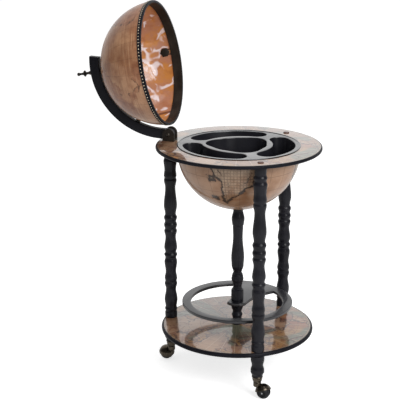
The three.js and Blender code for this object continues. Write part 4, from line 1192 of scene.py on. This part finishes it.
# %% Join and cut the insert
flange, rim_bead_width, rim_bead_fall, rim_bead_slope = 1.8 * MM, 3.4 * MM, 0.6 * MM, 0.4 * MM
bead_inner = flange_radius - rim_bead_width
plate_outline = [
    (0, deck - tray_wall),
    (table_hole_radius - tray_wall, deck - tray_wall),
    (table_hole_radius, tray_top - flange),
    (flange_radius, tray_top - flange),
    *arc(flange_radius - rim_bead_height, deck, rim_bead_height, 0, 90, 4),
    *arc(bead_inner + rim_bead_fall, tray_top - rim_bead_fall, rim_bead_fall, 90, 180, 3),
    (bead_inner - rim_bead_slope, deck),
    (0, deck),
]
insert = spun("insert_moulded", plate_outline, stand_axis, disc_sides)


def combine(piece, tool, operation):
    modify(piece, "BOOLEAN", object=tool, operation=operation, solver="EXACT")
    bpy.data.objects.remove(tool)


hollows = [("well", well_ring, well_depth, 0.0)]
hollows += [("pocket", pocket_ring, pocket_depth, angle + math.pi / 3) for angle in leg_angles]
for steps, operation in ((body_steps, "UNION"), (cavity_steps, "DIFFERENCE")):
    for name, outline, depth, turn in hollows:
        where = Matrix.Translation(stand_axis) @ Matrix.Rotation(turn, 4, "Z")
        combine(insert, place(sunk(name, outline, steps(depth)), where), operation)
smooth(tidy(insert), 38)
stand_for(paint(insert, gloss_black), "stand", "gloss_black_plastic", "tray_insert")

# %% [markdown]
# ## Casters
#
# Each caster has a brass socket, a brass hood like half a hollow ball, and two black wheels. They are
# modelled once, in the frame of the first caster's swivel, and copied with their own meshes.

# %% Sizes of a caster
socket_low, socket_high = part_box("caster_socket_1")
socket_radius = (socket_high.x - socket_low.x) / 2
socket_length = socket_high.z - socket_low.z
neck_radius, bore_radius = 11.5 * MM, 4.05 * MM
first_spin = Vector(joints["wheel_1_left_spin"]["pos_m"])
trail = (first_spin - leg_places[0]).to_2d().length
wheel_radius, wheel_tread, wheel_half = first_spin.z, 4.5 * MM, 15.5 * MM
ball_radius = math.hypot(wheel_radius, wheel_tread)
hood_inner, hood_outer = 20.9 * MM, 22 * MM
hood_middle = (hood_inner + hood_outer) / 2
hood_rise, hood_tilt, hood_turn = 9, math.radians(26), math.radians(-42)
fin_tilt, fin_thickness, fin_edge, fin_hub = math.radians(18), 3 * MM, 0.4 * MM, 7 * MM
boss_radius, boss_length = 10.5 * MM, 14 * MM
ball_place = Matrix.Translation(Vector((trail, 0, wheel_radius)))


# %% Socket
def caster_socket():
    """A neck that swells a little, and a rolled shoulder against the foot."""
    foot_round, shoulder_round, shoulder_drop = 0.8 * MM, 1.6 * MM, 2.4 * MM
    swell = ((0.16, 0.6), (0.34, 1.5), (0.52, 1.9), (0.66, 1.5))
    shoulder = socket_radius - shoulder_round
    outline = [
        (bore_radius, 0),
        *arc(neck_radius - foot_round, foot_round, foot_round, -90, 0, 3),
        *((neck_radius + more * MM, socket_length * share) for share, more in swell),
        *arc(shoulder, socket_length - shoulder_drop, shoulder_round, -70, 60, 6),
        (shoulder, socket_length),
        (bore_radius, socket_length),
        (bore_radius, 0),
    ]
    return smooth(spun("caster_socket", outline, sides=48), 45)


# %% Wheel
def caster_wheel():
    """A slice of a ball, with a hole for the axle and a groove round the hub on its outer face."""
    inner = fin_thickness / 2 + 0.7 * MM
    hole, hub, rim = 2.75 * MM, 8.5 * MM, 10.7 * MM
    start = math.degrees(math.atan2(wheel_tread, wheel_radius))
    stop = math.degrees(math.asin(wheel_half / ball_radius))
    groove, hub_face = wheel_half - 0.9 * MM, wheel_half - 1.2 * MM
    outline = [
        (hole, inner), (wheel_radius - 1 * MM, inner), (wheel_radius, inner + 0.8 * MM),
        *arc(0, 0, ball_radius, start, stop, 11),
        (rim, wheel_half), (rim - 0.5 * MM, groove), (hub + 0.3 * MM, groove),
        (hub, wheel_half - 0.2 * MM), (hub - 1.2 * MM, hub_face), (hole, hub_face), (hole, inner),
    ]
    return smooth(spun("caster_wheel", outline, sides=56), 35)


# %% Hood
def hood_cap():
    """A thin ball cap with a rolled lip, open on the side where the wheels show."""
    outline = [*arc(0, 0, hood_outer, hood_rise, 90, 20), *arc(0, 0, hood_inner, 90, hood_rise, 20)]
    shell = spun("caster_hood", [*outline, outline[0]])
    edge, lip_radius = math.radians(hood_rise), 0.8 * MM
    lip = arc(hood_middle * math.cos(edge), hood_middle * math.sin(edge), lip_radius, 0, 360, 8)
    return joined("caster_hood", shell, spun("hood_lip", lip))


def hood_boss():
    """The round boss under the socket, hollowed where the wheels turn."""
    top = socket_low.z - seat_gap
    low = top - boss_length
    outline = [
        (0, low), (boss_radius - 1 * MM, low), (boss_radius, low + 1 * MM), (boss_radius, top - 4 * MM),
        (boss_radius - 1 * MM, top - 0.6 * MM), (boss_radius - 1.6 * MM, top), (0, top),
    ]
    boss = spun("hood_boss", outline, sides=40)
    room = {"radius": hood_inner, "location": ball_place.translation}
    clear_selection()
    bpy.ops.mesh.primitive_uv_sphere_add(segments=48, ring_count=24, **room)
    combine(boss, bpy.context.object, "DIFFERENCE")
    return boss


def caster_hood():
    cap_turn = Matrix.Rotation(hood_turn, 4, "Z") @ Matrix.Rotation(-hood_tilt, 4, "Y")
    cap = place(hood_cap(), ball_place @ cap_turn)
    fin_outline = [*arc(0, 0, hood_middle, 12, 168, 28), *arc(0, 0, fin_hub, 180, 360, 16)]
    fin = board("hood_fin", [fin_outline], fin_thickness, fin_edge, upright, 2)
    place(fin, ball_place @ Matrix.Rotation(-fin_tilt, 4, "Y"))
    return smooth(joined("caster_hood", cap, fin, hood_boss()), 40)


# %% Three casters
models = caster_socket(), caster_wheel(), caster_hood()
socket_model, wheel_model, hood_model = models
for number, spot in enumerate(leg_places, 1):
    stem = joints[f"wheel_{number}_left_spin"]["pos_m"]
    heading = math.atan2(stem[1] - spot.y, stem[0] - spot.x)
    swivel = Matrix.Translation(Vector((spot.x, spot.y, 0))) @ Matrix.Rotation(heading, 4, "Z")
    foot_end = Matrix.Translation(Vector((spot.x, spot.y, socket_low.z)))
    socket = settle(copied(socket_model, f"caster_{number}_socket", foot_end))
    stand_for(paint(socket, brass), "stand", "antique_brass", f"caster_socket_{number}")
    hood = settle(copied(hood_model, f"caster_{number}_hood", swivel))
    stand_for(paint(hood, brass), f"caster_{number}", "antique_brass", f"caster_hood_{number}")
    for side, turn in (("left", -math.pi / 2), ("right", math.pi / 2)):
        axle = swivel @ ball_place @ Matrix.Rotation(turn, 4, "X")
        wheel = settle(copied(wheel_model, f"caster_{number}_{side}_wheel", axle))
        node = f"caster_wheel_{number}_{side}"
        stand_for(paint(wheel, tread), f"wheel_{number}_{side}", "wheel_black", node)
for model in models:
    bpy.data.objects.remove(model)

# %% [markdown]
# ## Small parts
#
# Two dark red-brown caps cover the leg screws on the table. Spacers, nuts and screws keep their CAD solids
# and take their finishes.

# %% Caps
cap_round, cap_foot_edge = 1.0 * MM, 0.4 * MM
for number in (2, 3):
    low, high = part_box(f"leg_cap_{number}")
    radius, height = (high.y - low.y) / 2, high.z - low.z
    spot = leg_places[number - 1]
    shoulder = height - cap_round - cap_foot_edge
    outline = [
        (0, 0), (radius - cap_foot_edge, 0), (radius, cap_foot_edge), (radius, shoulder),
        *arc(radius - cap_round, shoulder, cap_round, 0, 70, 4),
        (radius * 0.4, height - 0.1 * MM), (0, height),
    ]
    cap = smooth(spun(f"leg_{number}_cap", outline, Vector((spot.x, spot.y, low.z)), 40), 40)
    stand_for(paint(cap, cap_wood), "stand", "cap_wood", f"leg_cap_{number}")

# %% Finishes of the CAD nodes that stay
slot_finish = {
    "satin_black_wood": turned_lacquer, "gloss_black_plastic": gloss_black, "black_trim": trim_black,
    "globe_shell": trim_black, "printed_board": edge_lacquer, "cap_wood": cap_wood, "dark_metal": bronze,
    "antique_brass": brass, "steel": steel, "wheel_black": tread,
}
node_slots = {part["node"]: part["material_slot"] for part in frame["record"]["subparts"]}
for node, item in frame["nodes"].items():
    for index in range(len(item.material_slots)):
        item.material_slots[index].material = slot_finish[node_slots[node]]
print("CAD nodes with a finish:", len(node_slots))
